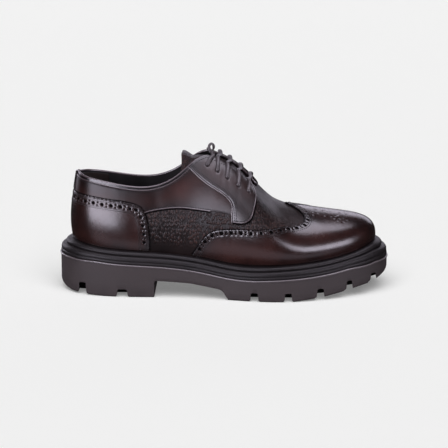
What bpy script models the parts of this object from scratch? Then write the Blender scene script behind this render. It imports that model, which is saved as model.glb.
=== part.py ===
"""A men's brogue derby shoe on a thick lugged sole, right foot, built round one last.

Lengths are in metres. +X points to the toe, -Y is the outer (lateral) side, +Z is up, and
the origin lies on the floor under the middle of the sole.
"""

import math

import bmesh
import bpy
import numpy as np
from mathutils import Vector
from mathutils.geometry import delaunay_2d_cdt

MM = 0.001

# The last
LAST_LENGTH = 286 * MM
BALL_WIDTH = 96 * MM
INSTEP_HEIGHT = 100 * MM
CONE_WIDTH = 46 * MM
TOE_SWING = 8 * MM

# The sole
SOLE_FLOOR = 17.5 * MM
RIM_HEIGHT = 12.8 * MM
HEEL_RIM_EXTRA = 2.4 * MM
TOE_RIM_EXTRA = 4.4 * MM
HEEL_PITCH = 16 * MM
TOE_SPRING = 15 * MM
SIDE_REACH = 10 * MM
END_REACH = 13 * MM

# The leather
WALL = 2.4 * MM
OVERLAY = 1.1 * MM
INSOLE_THICK = 3 * MM
INSOLE_CLEAR = 1.6 * MM
GAP = 0.3 * MM

# The height of the feather line at the ball, where the sole is flattest
SEAT_RISE = 1 * MM
PLATFORM = SOLE_FLOOR + RIM_HEIGHT + SEAT_RISE

# One row for each station round the shoe, from the heel's back to the toe's tip.
# station: the parameter, 0 at the back and 1 at the tip
# along, outer, inner: the feather line, as shares of the last's length and the ball's width
# top_along, top_half, top_height: the line where the section ends above, as shares of the
#   last's length, of the cone's width and of the instep's height over the platform
# lean_out, lean_in: how far each side leans outwards where it leaves the sole, in degrees
# low, high: the lengths of the section's two handles, as shares of its chord
# turn: the slope of the section at its top, in degrees
STATION, ALONG, OUTER, INNER, TOP_ALONG, TOP_HALF, TOP_HEIGHT = range(7)
LEAN_OUT, LEAN_IN, LOW, HIGH, TURN = range(7, 12)
SECTIONS = (
    # station along outer inner | top_along half height | lean_out in  low  high turn
    (0.000, 0.000, 0.000, 0.000, 0.020, 0.00, 0.930, 12, 12, 0.36, 0.34, 84),
    (0.065, 0.032, 0.215, 0.210, 0.036, 0.46, 0.930, 12, 11, 0.36, 0.34, 83),
    (0.150, 0.120, 0.340, 0.335, 0.105, 0.86, 0.910, 12, 9, 0.34, 0.34, 80),
    (0.280, 0.270, 0.365, 0.320, 0.236, 0.94, 0.900, 12, 4, 0.34, 0.34, 74),
    (0.410, 0.420, 0.390, 0.315, 0.350, 0.62, 1.000, 13, 2, 0.34, 0.34, 56),
    (0.525, 0.545, 0.465, 0.380, 0.445, 0.14, 1.060, 16, 8, 0.34, 0.38, 24),
    (0.630, 0.665, 0.520, 0.460, 0.540, 0.00, 0.890, 20, 16, 0.34, 0.42, 4),
    (0.730, 0.775, 0.475, 0.485, 0.640, 0.00, 0.583, 22, 20, 0.34, 0.42, 0),
    (0.815, 0.865, 0.375, 0.445, 0.725, 0.00, 0.470, 20, 18, 0.36, 0.46, 0),
    (0.890, 0.940, 0.240, 0.350, 0.795, 0.00, 0.430, 15, 14, 0.40, 0.50, 0),
    (0.950, 0.985, 0.085, 0.230, 0.845, 0.00, 0.408, 10, 10, 0.45, 0.57, 0),
    (1.000, 1.000, -0.075, 0.075, 0.865, 0.00, 0.400, 8, 8, 0.46, 0.58, 0),
)

# The seat: the height of the feather line over the platform, along the shoe
# along: share of the last's length; pitch: share of the heel's pitch; spring: of the toe's
SEAT = (
    (0.00, 1.06, 0.00),
    (0.06, 0.92, 0.00),
    (0.12, 0.80, 0.00),
    (0.26, 0.65, 0.00),
    (0.36, 0.51, 0.00),
    (0.44, 0.32, 0.00),
    (0.52, 0.09, 0.00),
    (0.60, 0.00, 0.03),
    (0.67, 0.00, 0.09),
    (0.75, 0.00, 0.18),
    (0.85, 0.00, 0.36),
    (0.94, 0.00, 0.67),
    (1.00, 0.00, 0.98),
)


def smoothstep(low, high, value):
    """0 below low, 1 above high, and a smooth rise between."""
    share = np.clip((np.asarray(value, float) - low) / (high - low), 0, 1)
    return share * share * (3 - 2 * share)


def open_spline(knots, values):
    """The natural cubic spline through the values, as a function."""
    knots = np.asarray(knots, float)
    values = np.asarray(values, float)
    count = len(knots)
    step = np.diff(knots)
    system = np.zeros((count, count))
    right = np.zeros(count)
    system[0, 0] = system[-1, -1] = 1
    for i in range(1, count - 1):
        system[i, i - 1 : i + 2] = step[i - 1], 2 * (step[i - 1] + step[i]), step[i]
        right[i] = 6 * ((values[i + 1] - values[i]) / step[i] - (values[i] - values[i - 1]) / step[i - 1])
    bend = np.linalg.solve(system, right)

    def at(where):
        where = np.clip(np.asarray(where, float), knots[0], knots[-1])
        i = np.clip(np.searchsorted(knots, where, side="right") - 1, 0, count - 2)
        h, left, past = step[i], knots[i + 1] - where, where - knots[i]
        return (
            bend[i] * left**3 / (6 * h)
            + bend[i + 1] * past**3 / (6 * h)
            + (values[i] / h - bend[i] * h / 6) * left
            + (values[i + 1] / h - bend[i + 1] * h / 6) * past
        )

    return at


def loop_spline(outer, inner):
    """A smooth closed curve round the shoe: the outer side's values at 0 to 1, the inner's at 0 to -1."""
    stations = [row[STATION] for row in SECTIONS]
    back = [-s for s in stations[:0:-1]]
    knots = back + stations
    values = list(inner[:0:-1]) + list(outer)
    wrap = 3
    around_knots = [k - 2 for k in knots[-1 - wrap : -1]] + knots + [k + 2 for k in knots[1 : 1 + wrap]]
    around = values[-1 - wrap : -1] + values + values[1 : 1 + wrap]
    return open_spline(around_knots, around)


def column(index):
    return [row[index] for row in SECTIONS]


def both(index):
    return loop_spline(column(index), column(index))


FEATHER_X = both(ALONG)
FEATHER_Y = loop_spline([-v for v in column(OUTER)], column(INNER))
TOP_X = both(TOP_ALONG)
TOP_Y = both(TOP_HALF)
TOP_Z = both(TOP_HEIGHT)
LEAN = loop_spline(column(LEAN_OUT), column(LEAN_IN))
LOW_HANDLE = both(LOW)
HIGH_HANDLE = both(HIGH)
TOP_TURN = both(TURN)
SEAT_PITCH = open_spline([row[0] for row in SEAT], [row[1] for row in SEAT])
SEAT_SPRING = open_spline([row[0] for row in SEAT], [row[2] for row in SEAT])
RIDGE_FROM = 0.60
RIDGE_TO = 0.97


def seat(x):
    """The height of the feather line at x."""
    along = np.asarray(x) / LAST_LENGTH + 0.5
    return PLATFORM + HEEL_PITCH * SEAT_PITCH(along) + TOE_SPRING * SEAT_SPRING(along)


def centre_line(x):
    """The middle of the last swings to the inner side at the toe."""
    return TOE_SWING * smoothstep(0.0, 1.0, np.asarray(x) / LAST_LENGTH + 0.5) ** 2


def feather(u):
    """The line where the upper meets the sole. u runs from 0 at the heel's back to 1 at the toe, and is negative inside."""
    x = LAST_LENGTH * (FEATHER_X(u) - 0.5)
    y = BALL_WIDTH * FEATHER_Y(u)
    return np.stack([x, y, seat(x)], -1)


def outward(u):
    """The level direction that leaves the feather line squarely."""
    small = 1e-4
    ahead, behind = feather(u + small), feather(u - small)
    along = ahead - behind
    normal = np.stack([along[..., 1], -along[..., 0], np.zeros_like(along[..., 0])], -1)
    return normal / np.linalg.norm(normal, axis=-1, keepdims=True)


def top_line(u):
    """Where each section ends above: the ridge in front, and a line over the collar behind."""
    u = np.asarray(u, float)
    x = LAST_LENGTH * (TOP_X(u) - 0.5)
    half = CONE_WIDTH / 2 * TOP_Y(u) * (1 - smoothstep(RIDGE_FROM - 0.12, RIDGE_FROM, np.abs(u)))
    y = centre_line(x) - np.sign(u) * np.maximum(half, 0)
    return np.stack([x, y, PLATFORM + INSTEP_HEIGHT * TOP_Z(u)], -1)


def surface(u, t):
    """The outer face of the base leather. t runs from 0 at the feather line to 1 at the top line."""
    u, t = np.broadcast_arrays(np.asarray(u, float), np.asarray(t, float))
    low, high = feather(u), top_line(u)
    chord = np.linalg.norm(high - low, axis=-1, keepdims=True)
    lean = np.radians(LEAN(u))[..., None]
    turn = np.radians(TOP_TURN(u))[..., None]
    up = np.array([0.0, 0.0, 1.0])
    level = (low - high) * [1, 1, 0]
    level = level / np.maximum(np.linalg.norm(level, axis=-1, keepdims=True), 1e-9)
    on_ridge = np.clip(np.abs(u), RIDGE_FROM - 0.2, RIDGE_TO)
    ridge = top_line(on_ridge + 1e-3) - top_line(on_ridge - 1e-3)
    slope = ridge[..., 2] / ridge[..., 0]
    fall = (slope * level[..., 0] * smoothstep(RIDGE_FROM - 0.2, RIDGE_FROM, np.abs(u)))[..., None]
    first = low + chord * LOW_HANDLE(u)[..., None] * (np.sin(lean) * outward(u) + np.cos(lean) * up)
    leave = np.cos(turn) * (level + fall * up) - np.sin(turn) * up
    second = high + chord * HIGH_HANDLE(u)[..., None] * leave
    t = t[..., None]
    return (1 - t) ** 3 * low + 3 * t * (1 - t) ** 2 * first + 3 * t**2 * (1 - t) * second + t**3 * high


# The collar and throat: how far up its section the leather reaches at each station
# Behind the peak it is the collar's edge, and before it the throat's, which ends on the ridge.
COLLAR = (
    (0.000, 0.845),
    (0.060, 0.815),
    (0.130, 0.800),
    (0.200, 0.778),
    (0.270, 0.757),
    (0.340, 0.770),
    (0.388, 0.810),
    (0.436, 0.863),
    (0.474, 0.890),
    (0.502, 0.895),
)
THROAT = (
    (0.502, 0.895),
    (0.524, 0.858),
    (0.546, 0.836),
    (0.584, 0.830),
    (0.620, 0.845),
    (0.650, 0.870),
    (0.676, 0.910),
    (0.700, 1.000),
)
PEAK = 0.502
THROAT_END = 0.700
COLLAR_EDGE = open_spline([row[0] for row in COLLAR], [row[1] for row in COLLAR])
THROAT_EDGE = open_spline([row[0] for row in THROAT], [row[1] for row in THROAT])


def edge(u):
    """How far up the section at u the leather reaches."""
    away = np.abs(np.asarray(u, float))
    return np.where(away < PEAK, COLLAR_EDGE(away), np.where(away < THROAT_END, THROAT_EDGE(away), 1.0))


# The grid that the leather is faceted on: stations along one side, and rows up each section
STATIONS = np.concatenate(
    [
        np.linspace(0.0, 0.27, 9),
        np.linspace(0.27, PEAK, 8)[1:],
        np.linspace(PEAK, THROAT_END, 8)[1:],
        np.linspace(THROAT_END, 1.0, 9)[1:],
    ]
)
HALF = len(STATIONS) - 1
RING = 2 * HALF
ROWS = 10


def ring_station(i):
    """The station of the ring's column i: 0 at the back, HALF at the toe, and on round the inner side."""
    i = i % RING
    return STATIONS[i] if i <= HALF else -STATIONS[RING - i]


def ring_place(u):
    """The place along the ring, in columns, of a station; over 1 the inner side is counted on from the toe."""
    if u > 1:
        return RING - ring_place(2 - u)
    if u < 0:
        return -ring_place(-u)
    return float(np.interp(u, STATIONS, np.arange(HALF + 1)))


def leather_grid():
    """The faceted base leather: its points, outward normals and triangles, all by (column, row)."""
    u = np.array([ring_station(i) for i in range(RING)])
    share = np.linspace(0, 1, ROWS + 1)
    points = surface(u[:, None], share[None, :] * edge(u)[:, None])
    names = {}
    for i in range(RING):
        for j in range(ROWS + 1):
            twin = RING - i if j == ROWS and abs(ring_station(i)) >= THROAT_END - 1e-9 and i > HALF else i
            names[i, j] = (twin, j)
    faces = []
    for i in range(RING):
        for j in range(ROWS):
            a, b = (i, j), ((i + 1) % RING, j)
            c, d = ((i + 1) % RING, j + 1), (i, j + 1)
            faces += [(a, b, c), (a, c, d)]
    normals = {}
    for face in faces:
        a, b, c = (points[corner] for corner in face)
        across = np.cross(b - a, c - a)
        for corner in face:
            key = names[corner]
            normals[key] = normals.get(key, 0) + across
    unit = np.zeros_like(points)
    for key, name in names.items():
        unit[key] = normals[name] / np.linalg.norm(normals[name])
    return points, unit


GRID_POINTS, GRID_NORMALS = leather_grid()


def on_grid(places, lift):
    """Points lift outside the faceted leather, at places given in columns and rows."""
    places = np.asarray(places, float)
    i = np.floor(places[:, 0] + 1e-7).astype(int)
    j = np.clip(np.floor(places[:, 1] + 1e-7).astype(int), 0, ROWS - 1)
    across = (places[:, 0] - i)[:, None]
    up = (places[:, 1] - j)[:, None]
    near, far = i % RING, (i + 1) % RING
    lifted = GRID_POINTS + lift * GRID_NORMALS
    low_near, low_far = lifted[near, j], lifted[far, j]
    high_near, high_far = lifted[near, j + 1], lifted[far, j + 1]
    under = (1 - across) * low_near + (across - up) * low_far + up * high_far
    over = (1 - up) * low_near + across * high_far + (up - across) * high_near
    return np.where(across >= up, under, over)


def make_material(name, colour, roughness):
    material = bpy.data.materials.new(name)
    material.use_nodes = True
    shader = material.node_tree.nodes["Principled BSDF"]
    shader.inputs["Base Color"].default_value = (*colour, 1)
    shader.inputs["Roughness"].default_value = roughness
    material.diffuse_color = (*colour, 1)
    return material


def make_object(name, vertices, faces, material):
    """A mesh object, welded, with its faces turned outwards."""
    mesh = bpy.data.meshes.new(name)
    mesh.from_pydata([tuple(v) for v in vertices], [], [tuple(int(i) for i in f) for f in faces])
    work = bmesh.new()
    work.from_mesh(mesh)
    bmesh.ops.remove_doubles(work, verts=work.verts, dist=1e-6)
    bmesh.ops.dissolve_degenerate(work, edges=work.edges, dist=1e-6)
    bmesh.ops.recalc_face_normals(work, faces=work.faces)
    work.to_mesh(mesh)
    work.free()
    mesh.materials.append(material)
    mesh.shade_smooth()
    mesh.set_sharp_from_angle(angle=math.radians(35))
    made = bpy.data.objects.new(name, mesh)
    bpy.context.collection.objects.link(made)
    return made


def thicken(name, low, high, faces, material):
    """The solid between two sheets with the same triangles, closed round its edges."""
    count = len(low)
    key = {}
    same = []
    for index, point in enumerate(np.round(high, 5)):
        same.append(key.setdefault(tuple(point), index))
    faces = [tuple(same[i] for i in face) for face in faces]
    faces = [face for face in faces if len(set(face)) == 3]
    directed = {}
    for face in faces:
        for k in range(3):
            directed[face[k], face[(k + 1) % 3]] = True
    solid = [tuple(count + i for i in face) for face in faces] + [face[::-1] for face in faces]
    for a, b in directed:
        if (b, a) not in directed:
            solid.append((a, b, count + b, count + a))
    return make_object(name, np.vstack([low, high]), solid, material)


def smooth_run(run, pieces=3):
    """A curve through one run of a table's points, made denser, without its last point."""
    points = np.array([row[:2] for row in run], float)
    if len(run) == 2:
        shares = np.linspace(0, 1, pieces + 1)[:-1, None]
        return [tuple(p) for p in (points[0] + shares * (points[1] - points[0])).tolist()]
    steps = np.linalg.norm(np.diff(points * [3, 1], axis=0), axis=1)
    gone = np.concatenate([[0], np.cumsum(steps)])
    where = np.concatenate([np.linspace(a, b, pieces + 1)[:-1] for a, b in zip(gone, gone[1:])])
    across = open_spline(gone, points[:, 0])
    up = open_spline(gone, points[:, 1])
    return list(zip(across(where).tolist(), up(where).tolist()))


def smooth_outline(rows, pieces=3):
    """A closed table of points made denser, each run from corner to corner by its own curve."""
    count = len(rows)
    corners = [i for i, row in enumerate(rows) if row[2]]
    dense = []
    for start, stop in zip(corners, corners[1:] + [corners[0] + count]):
        dense += smooth_run([rows[i % count] for i in range(start, stop + 1)], pieces)
    return dense


def inside(point, outline):
    """Whether a point lies inside a closed outline."""
    x, y = point
    hit = False
    for (ax, ay), (bx, by) in zip(outline, outline[1:] + outline[:1]):
        if (ay > y) != (by > y) and x < ax + (y - ay) / (by - ay) * (bx - ax):
            hit = not hit
    return hit


def flat_area(corners):
    """The area of a flat triangle."""
    a, b, c = corners
    return abs((b[0] - a[0]) * (c[1] - a[1]) - (b[1] - a[1]) * (c[0] - a[0])) / 2


def panel(name, outline, low, high, material):
    """An overlay cut from between two offsets of the leather, inside an outline of stations and heights."""
    places = []
    for u, t in outline:
        level = t / float(edge(u if u <= 1 else 2 - u))
        places.append((ring_place(u), ROWS * min(level, 1.0)))
    first = math.floor(min(p[0] for p in places))
    last = math.ceil(max(p[0] for p in places))
    columns = last - first + 1
    grid = [(i, j) for i in range(first, last + 1) for j in range(ROWS + 1)]
    edges = []
    for i in range(columns):
        for j in range(ROWS + 1):
            here = i * (ROWS + 1) + j
            if i + 1 < columns:
                edges.append((here, here + ROWS + 1))
            if j < ROWS:
                edges.append((here, here + 1))
            if i + 1 < columns and j < ROWS:
                edges.append((here, here + ROWS + 2))
    start = len(grid)
    edges += [(start + k, start + (k + 1) % len(places)) for k in range(len(places))]
    points, _, faces, *_ = delaunay_2d_cdt([Vector(p) for p in grid + places], edges, [], 0, 1e-6)
    flat = np.array([tuple(p) for p in points])
    kept = [face for face in faces if flat_area(flat[list(face)]) > 1e-6]
    kept = [face for face in kept if inside(tuple(flat[list(face)].mean(0)), places)]
    used = sorted({i for face in kept for i in face})
    order = {old: new for new, old in enumerate(used)}
    kept = [tuple(order[i] for i in face) for face in kept]
    return thicken(name, on_grid(flat[used], low), on_grid(flat[used], high), kept, material)


# The overlays' outlines: station, height up the section, and whether the outline turns a corner there.
# A station over 1 has passed the toe, and a negative one the heel, to the inner side.
PANEL_FOOT = 0.02
COUNTER_SIDE = (
    (0.000, 0.600, False),
    (0.052, 0.600, False),
    (0.098, 0.603, False),
    (0.160, 0.602, False),
    (0.226, 0.585, False),
    (0.256, 0.535, False),
    (0.266, 0.450, False),
    (0.270, 0.367, False),
    (0.271, 0.153, False),
    (0.270, PANEL_FOOT, True),
)
STRIP_SIDE = (
    (0.000, 0.845, False),
    (0.016, 0.842, True),
    (0.014, 0.740, False),
    (0.017, 0.670, False),
    (0.030, 0.622, True),
)
WING_SIDE = (
    (0.390, PANEL_FOOT, True),
    (0.416, 0.143, False),
    (0.440, 0.225, False),
    (0.466, 0.267, False),
    (0.496, 0.280, False),
    (0.544, 0.297, False),
    (0.590, 0.323, False),
    (0.646, 0.397, False),
    (0.690, 0.480, False),
    (0.742, 0.537, False),
    (0.762, 0.570, False),
    (0.776, 0.627, False),
    (0.788, 0.700, False),
    (0.796, 0.800, False),
    (0.798, 0.910, False),
    (0.792, 1.000, True),
)
FACING = (
    (0.430, 0.858, True),
    (0.468, 0.673, False),
    (0.496, 0.597, False),
    (0.524, 0.537, False),
    (0.534, 0.497, False),
    (0.531, 0.420, False),
    (0.526, 0.347, True),
    (0.554, 0.353, False),
    (0.576, 0.393, False),
    (0.592, 0.470, False),
    (0.612, 0.597, False),
    (0.632, 0.730, False),
    (0.640, 0.861, True),
)
OVERLAY_LOW = GAP
OVERLAY_HIGH = GAP + OVERLAY


def counter_outline():
    side = list(COUNTER_SIDE)
    return smooth_outline([(-u, t, c) for u, t, c in side[:0:-1]] + side)


def strip_outline():
    side = list(STRIP_SIDE)
    return smooth_outline([(-u, t, c) for u, t, c in side[:0:-1]] + side, pieces=2)


def wing_outline():
    peak = WING_SIDE[-1][0]
    top = smooth_run(WING_SIDE) + [(peak, 1.0)]
    top += [(float(u), 1.0) for u in STATIONS if u > peak + 0.004]
    foot = [(float(u), PANEL_FOOT) for u in STATIONS if u > WING_SIDE[0][0] + 0.004]
    far_top = [(2 - u, t) for u, t in top[-2::-1]]
    far_foot = [(2 - u, t) for u, t in foot[:-1]]
    return top + far_top + far_foot + foot[::-1]


def facing_outline():
    rows = smooth_outline(list(FACING))
    end = max(i for i, p in enumerate(rows) if abs(p[0] - FACING[-1][0]) < 1e-9 and p[1] > 0.8)
    rim = [u for u in STATIONS[::-1] if FACING[0][0] + 0.004 < u < FACING[-1][0] - 0.004]
    return rows[: end + 1] + [(float(u), float(edge(u))) for u in rim]


def mirrored(outline):
    return [(-u, t) for u, t in outline]


# The sole. reach is a share of how far the sole reaches beyond the feather line, inset a length inside it;
# depth is a share of the rim's height under the feather line.
REACH, DEPTH = range(2)
WELT_WIDTH = 8 * MM
WELT_FACE = (
    (0.20, 0.00),
    (0.42, 0.03),
    (0.56, 0.11),
    (0.62, 0.20),
    (0.59, 0.29),
)
MIDSOLE_FACE = (
    (0.76, 0.33),
    (0.86, 0.37),
    (0.95, 0.47),
    (0.97, 0.63),
    (0.93, 0.67),
    (0.98, 0.72),
    (1.00, 0.80),
    (0.97, 0.92),
    (1.01, 0.97),
    (0.98, 1.00),
)
SOLE_STATIONS = np.linspace(0, 1, 29)
SOLE_EDGE = 1.6 * MM

# The tread's profile: share of the sole's half length from its middle, height as a share of the outsole's
TREAD = (
    (-1.000, 0.44),
    (-0.985, 0.30),
    (-0.960, 0.19),
    (-0.920, 0.10),
    (-0.850, 0.05),
    (-0.720, 0.00),
    (0.420, 0.00),
    (0.500, 0.07),
    (0.600, 0.16),
    (0.700, 0.31),
    (0.800, 0.48),
    (0.880, 0.60),
    (0.940, 0.76),
    (0.985, 0.94),
    (1.000, 1.08),
)
BREAST = -0.415
ARCH = (
    (-0.415, 0.93),
    (-0.200, 0.82),
    (-0.015, 0.56),
    (0.006, 0.40),
    (0.016, 0.22),
    (0.030, 0.08),
)
# Each notch in the sole's sides: its middle and width as shares of the sole's half length, its height
# as a share of the outsole's
NOTCHES = (
    (-0.853, 0.046, 0.52),
    (-0.608, 0.064, 0.36),
    (0.190, 0.046, 0.40),
    (0.393, 0.044, 0.40),
    (0.586, 0.042, 0.42),
    (0.762, 0.036, 0.42),
    (0.910, 0.034, 0.36),
)
NOTCH_REACH = 17 * MM
NOTCH_BEYOND = 14 * MM
NOTCH_BELOW = 6 * MM
NOTCH_FLARE = 1 * MM
NOTCH_FOOT = 2 * MM
# How much of a notch's half width its rounded corners take, down its side and over its roof
NOTCH_CORNER_DOWN = 0.6
NOTCH_CORNER_OVER = 0.5
CUT_BELOW = 10 * MM
BREAST_SLOPE = 3 * MM
# The outsole's upper edge is rounded: its inset as a share of the reach, and its height
SHOULDER_REACH = 0.985
SHOULDER = 0.8 * MM


def reach(u):
    """How far the sole reaches beyond the feather line."""
    ends = smoothstep(0.16, 0.0, np.abs(u)) + smoothstep(0.84, 1.0, np.abs(u))
    return SIDE_REACH + (END_REACH - SIDE_REACH) * ends


def rim(x):
    """The height from the outsole's top to the feather line."""
    along = np.asarray(x) / LAST_LENGTH + 0.5
    return RIM_HEIGHT + HEEL_RIM_EXTRA * smoothstep(0.09, 0.0, along) + TOE_RIM_EXTRA * smoothstep(0.90, 1.0, along)


SOLE_LOOP = np.concatenate([SOLE_STATIONS, -SOLE_STATIONS[-2:0:-1]])
SOLE_HALF = LAST_LENGTH / 2 + END_REACH


def sole_ring(offset):
    """The sole's outline in plan, offset outside the feather line, with the seat's height there."""
    ring = feather(SOLE_LOOP) + outward(SOLE_LOOP) * np.broadcast_to(offset, SOLE_LOOP.shape)[:, None]
    ring[:, 2] = seat(ring[:, 0])
    return ring


def at_depth(offset, depth, gap=0.0):
    """A ring of the sole at a share of the rim's depth."""
    ring = sole_ring(offset)
    ring[:, 2] -= depth * rim(ring[:, 0]) + gap
    return ring


def stack(name, rings, material, closed_loop=False):
    """A solid from rings one under another: capped across at both ends, or closed into a hoop."""
    count = len(SOLE_LOOP)
    faces = []
    pairs = len(rings) if closed_loop else len(rings) - 1
    for k in range(pairs):
        low, high = k * count, (k + 1) % len(rings) * count
        for i in range(count):
            j = (i + 1) % count
            faces += [(low + i, low + j, high + j), (low + i, high + j, high + i)]
    if not closed_loop:
        for base, flip in ((0, False), ((len(rings) - 1) * count, True)):
            for i in range(len(SOLE_STATIONS) - 1):
                near, after = i, i + 1
                far, beyond = (count - i) % count, count - i - 1
                cap = [near, after, beyond, far]
                cap = [base + k for k in (cap[::-1] if flip else cap)]
                faces += [(cap[0], cap[1], cap[2])]
                if cap[0] != cap[3]:
                    faces += [(cap[0], cap[2], cap[3])]
    faces = [f for f in faces if len(set(f)) == 3]
    return make_object(name, np.vstack(rings), faces, material)


def make_welt(material):
    face = [at_depth(reach(SOLE_LOOP) * row[REACH], row[DEPTH], GAP) for row in WELT_FACE]
    inner_top = at_depth(-WELT_WIDTH, WELT_FACE[0][DEPTH], GAP)
    inner_foot = at_depth(-WELT_WIDTH, WELT_FACE[-1][DEPTH], GAP)
    return stack("welt", [inner_top] + face + [inner_foot], material, closed_loop=True)


def make_midsole(material):
    floor = WELT_FACE[-1][DEPTH]
    raised = -WELT_WIDTH - GAP
    rings = [at_depth(raised, 0.0, GAP), at_depth(raised, floor, 2 * GAP)]
    rings += [at_depth(reach(SOLE_LOOP) * row[REACH], row[DEPTH], 2 * GAP) for row in MIDSOLE_FACE]
    return stack("midsole", rings, material)


def make_insole(material):
    low = sole_ring(-(WALL + INSOLE_CLEAR)) + [0, 0, GAP]
    high = low + [0, 0, INSOLE_THICK]
    return stack("insole", [high, low], material)


def tread(x):
    """The height of the sole's underside, before the arch is cut."""
    share = np.clip(np.asarray(x) / SOLE_HALF, -1, 1)
    return SOLE_FLOOR * np.interp(share, [row[0] for row in TREAD], [row[1] for row in TREAD])


def prism(profile, low_y, high_y):
    """The vertices and faces of a profile in X and Z, stretched across the shoe."""
    count = len(profile)
    vertices = [(x, low_y, z) for x, z in profile] + [(x, high_y, z) for x, z in profile]
    faces = [tuple(range(count)), tuple(range(2 * count - 1, count - 1, -1))]
    faces += [(i, count + i, count + (i + 1) % count, (i + 1) % count) for i in range(count)]
    return vertices, faces


def make_outsole(material, cutter_material):
    gap = 3 * GAP
    full = reach(SOLE_LOOP)
    top = at_depth(full * SHOULDER_REACH, 1.0, gap)
    shoulder = at_depth(full, 1.0, gap + SHOULDER)
    side = sole_ring(full)
    side[:, 2] = tread(side[:, 0]) + SOLE_EDGE
    foot = sole_ring(full - SOLE_EDGE)
    foot[:, 2] = tread(foot[:, 0])
    made = stack("outsole", [top, shoulder, side, foot], material)
    arch = [(BREAST * SOLE_HALF, -CUT_BELOW)]
    arch += [(share * SOLE_HALF, level * SOLE_FLOOR) for share, level in ARCH]
    arch += [(ARCH[-1][0] * SOLE_HALF + BREAST_SLOPE, -CUT_BELOW)]
    vertices, faces = prism(arch, -BALL_WIDTH, BALL_WIDTH)
    for middle, width, height in NOTCHES:
        x = middle * SOLE_HALF
        half = width * SOLE_HALF / 2
        floor = float(tread(x))
        roof = floor + height * SOLE_FLOOR
        slot = [
            (x - half - NOTCH_FLARE, floor - NOTCH_BELOW),
            (x - half, floor + NOTCH_FOOT),
            (x - half, roof - half * NOTCH_CORNER_DOWN),
            (x - half * NOTCH_CORNER_OVER, roof),
            (x + half * NOTCH_CORNER_OVER, roof),
            (x + half, roof - half * NOTCH_CORNER_DOWN),
            (x + half, floor + NOTCH_FOOT),
            (x + half + NOTCH_FLARE, floor - NOTCH_BELOW),
        ]
        loop = sole_ring(full)
        for side_sign in (-1, 1):
            points = loop[np.sign(loop[:, 1] - centre_line(x)) == side_sign]
            nearest = points[np.argsort(np.abs(points[:, 0] - x))[:2]]
            wall = float(nearest[:, 1].mean())
            ends = sorted([wall - side_sign * NOTCH_REACH, wall + side_sign * NOTCH_BEYOND])
            more, around = prism(slot, *ends)
            faces += [tuple(len(vertices) + i for i in face) for face in around]
            vertices += more
    cutter = make_object("tread_cutter", vertices, faces, cutter_material)
    cutter.hide_render = True
    cutter.display_type = "WIRE"
    cut = made.modifiers.new("tread", "BOOLEAN")
    cut.operation = "DIFFERENCE"
    cut.object = cutter
    return made


# The tongue: the stations it runs between, on the ridge and at its side edges, and how far down it reaches
TONGUE_BACK = 0.425
TONGUE_BACK_SIDE = 0.365
TONGUE_FRONT = 0.735
TONGUE_SIDE = 0.62
TONGUE_THICK = 3.0 * MM
TONGUE_CLEAR = 0.7 * MM
TONGUE_CROWN = 0.6 * MM
# The tongue sinks between the facings: how far, the stations between which it goes down and comes up
# again, and how high up the section it begins to sink
TONGUE_SAG = 7.5 * MM
SAG_BACK = (0.425, 0.475)
SAG_FRONT = (0.55, 0.66)
SAG_SIDE = 0.80


def surface_normal(u, t):
    """The outward normal of the base leather."""
    small = 1e-4
    along = surface(u + small, t) - surface(u - small, t)
    up = surface(u, t + small) - surface(u, t - small)
    across = np.cross(along, up)
    return across / np.linalg.norm(across, axis=-1, keepdims=True)


def make_tongue(material):
    u = np.linspace(TONGUE_BACK, TONGUE_FRONT, 12)
    t = np.linspace(TONGUE_SIDE, 0.985, 7)
    us, ts = np.meshgrid(u, t, indexing="ij")
    down = (1 - ts) / (1 - TONGUE_SIDE)
    along = (us - TONGUE_BACK) / (TONGUE_FRONT - TONGUE_BACK)
    us = us + (TONGUE_BACK_SIDE - TONGUE_BACK) * down * (1 - along)
    outer, inner = surface(us, ts), surface(-us, ts)
    outer_normal, inner_normal = surface_normal(us, ts), surface_normal(-us, ts)
    middle = (top_line(u) + top_line(-u)) / 2
    middle_normal = outer_normal[:, -1] + inner_normal[:, -1]
    middle_normal /= np.linalg.norm(middle_normal, axis=-1, keepdims=True)
    open_throat = smoothstep(0.66, 0.60, u)[:, None]
    middle = middle + middle_normal * open_throat * TONGUE_CROWN
    sheet = np.concatenate([outer, middle[:, None], inner[:, ::-1]], 1)
    normal = np.concatenate([outer_normal, middle_normal[:, None], inner_normal[:, ::-1]], 1)
    sink = smoothstep(SAG_SIDE, 1.0, np.append(t, [1.0, *t[::-1]]))
    deep = TONGUE_SAG * smoothstep(*SAG_BACK, u) * (1 - smoothstep(*SAG_FRONT, u))
    sheet = sheet - [0, 0, 1] * (deep[:, None] * sink)[..., None]
    wide = sheet.shape[1]
    high = (sheet - normal * (WALL + TONGUE_CLEAR)).reshape(-1, 3)
    low = (sheet - normal * (WALL + TONGUE_CLEAR + TONGUE_THICK)).reshape(-1, 3)
    faces = []
    for i in range(len(u) - 1):
        for j in range(wide - 1):
            a, b = i * wide + j, (i + 1) * wide + j
            faces += [(a, b, b + 1), (a, b + 1, a + 1)]
    return thicken("tongue", low, high, faces, material)


# The laces: where each bar crosses the throat, as a share of the last's length, how far below the
# throat's edge its eyelets lie, as a share of the section, and how far it stands off the tongue, as a
# share of the lace's thickness
LACE_BARS = (
    (0.443, 0.110, 0.55),
    (0.479, 0.125, 0.10),
    (0.510, 0.140, 0.12),
    (0.544, 0.160, 0.70),
    (0.577, 0.150, 1.10),
)
LACE_THICK = 3.0 * MM
LACE_LEAD = 2.4 * MM


def station_at(x, t):
    """The station whose section passes x at the height t."""
    u = np.linspace(0.40, 0.80, 201)
    return float(np.interp(x, surface(u, np.full_like(u, t))[:, 0], u))


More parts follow.
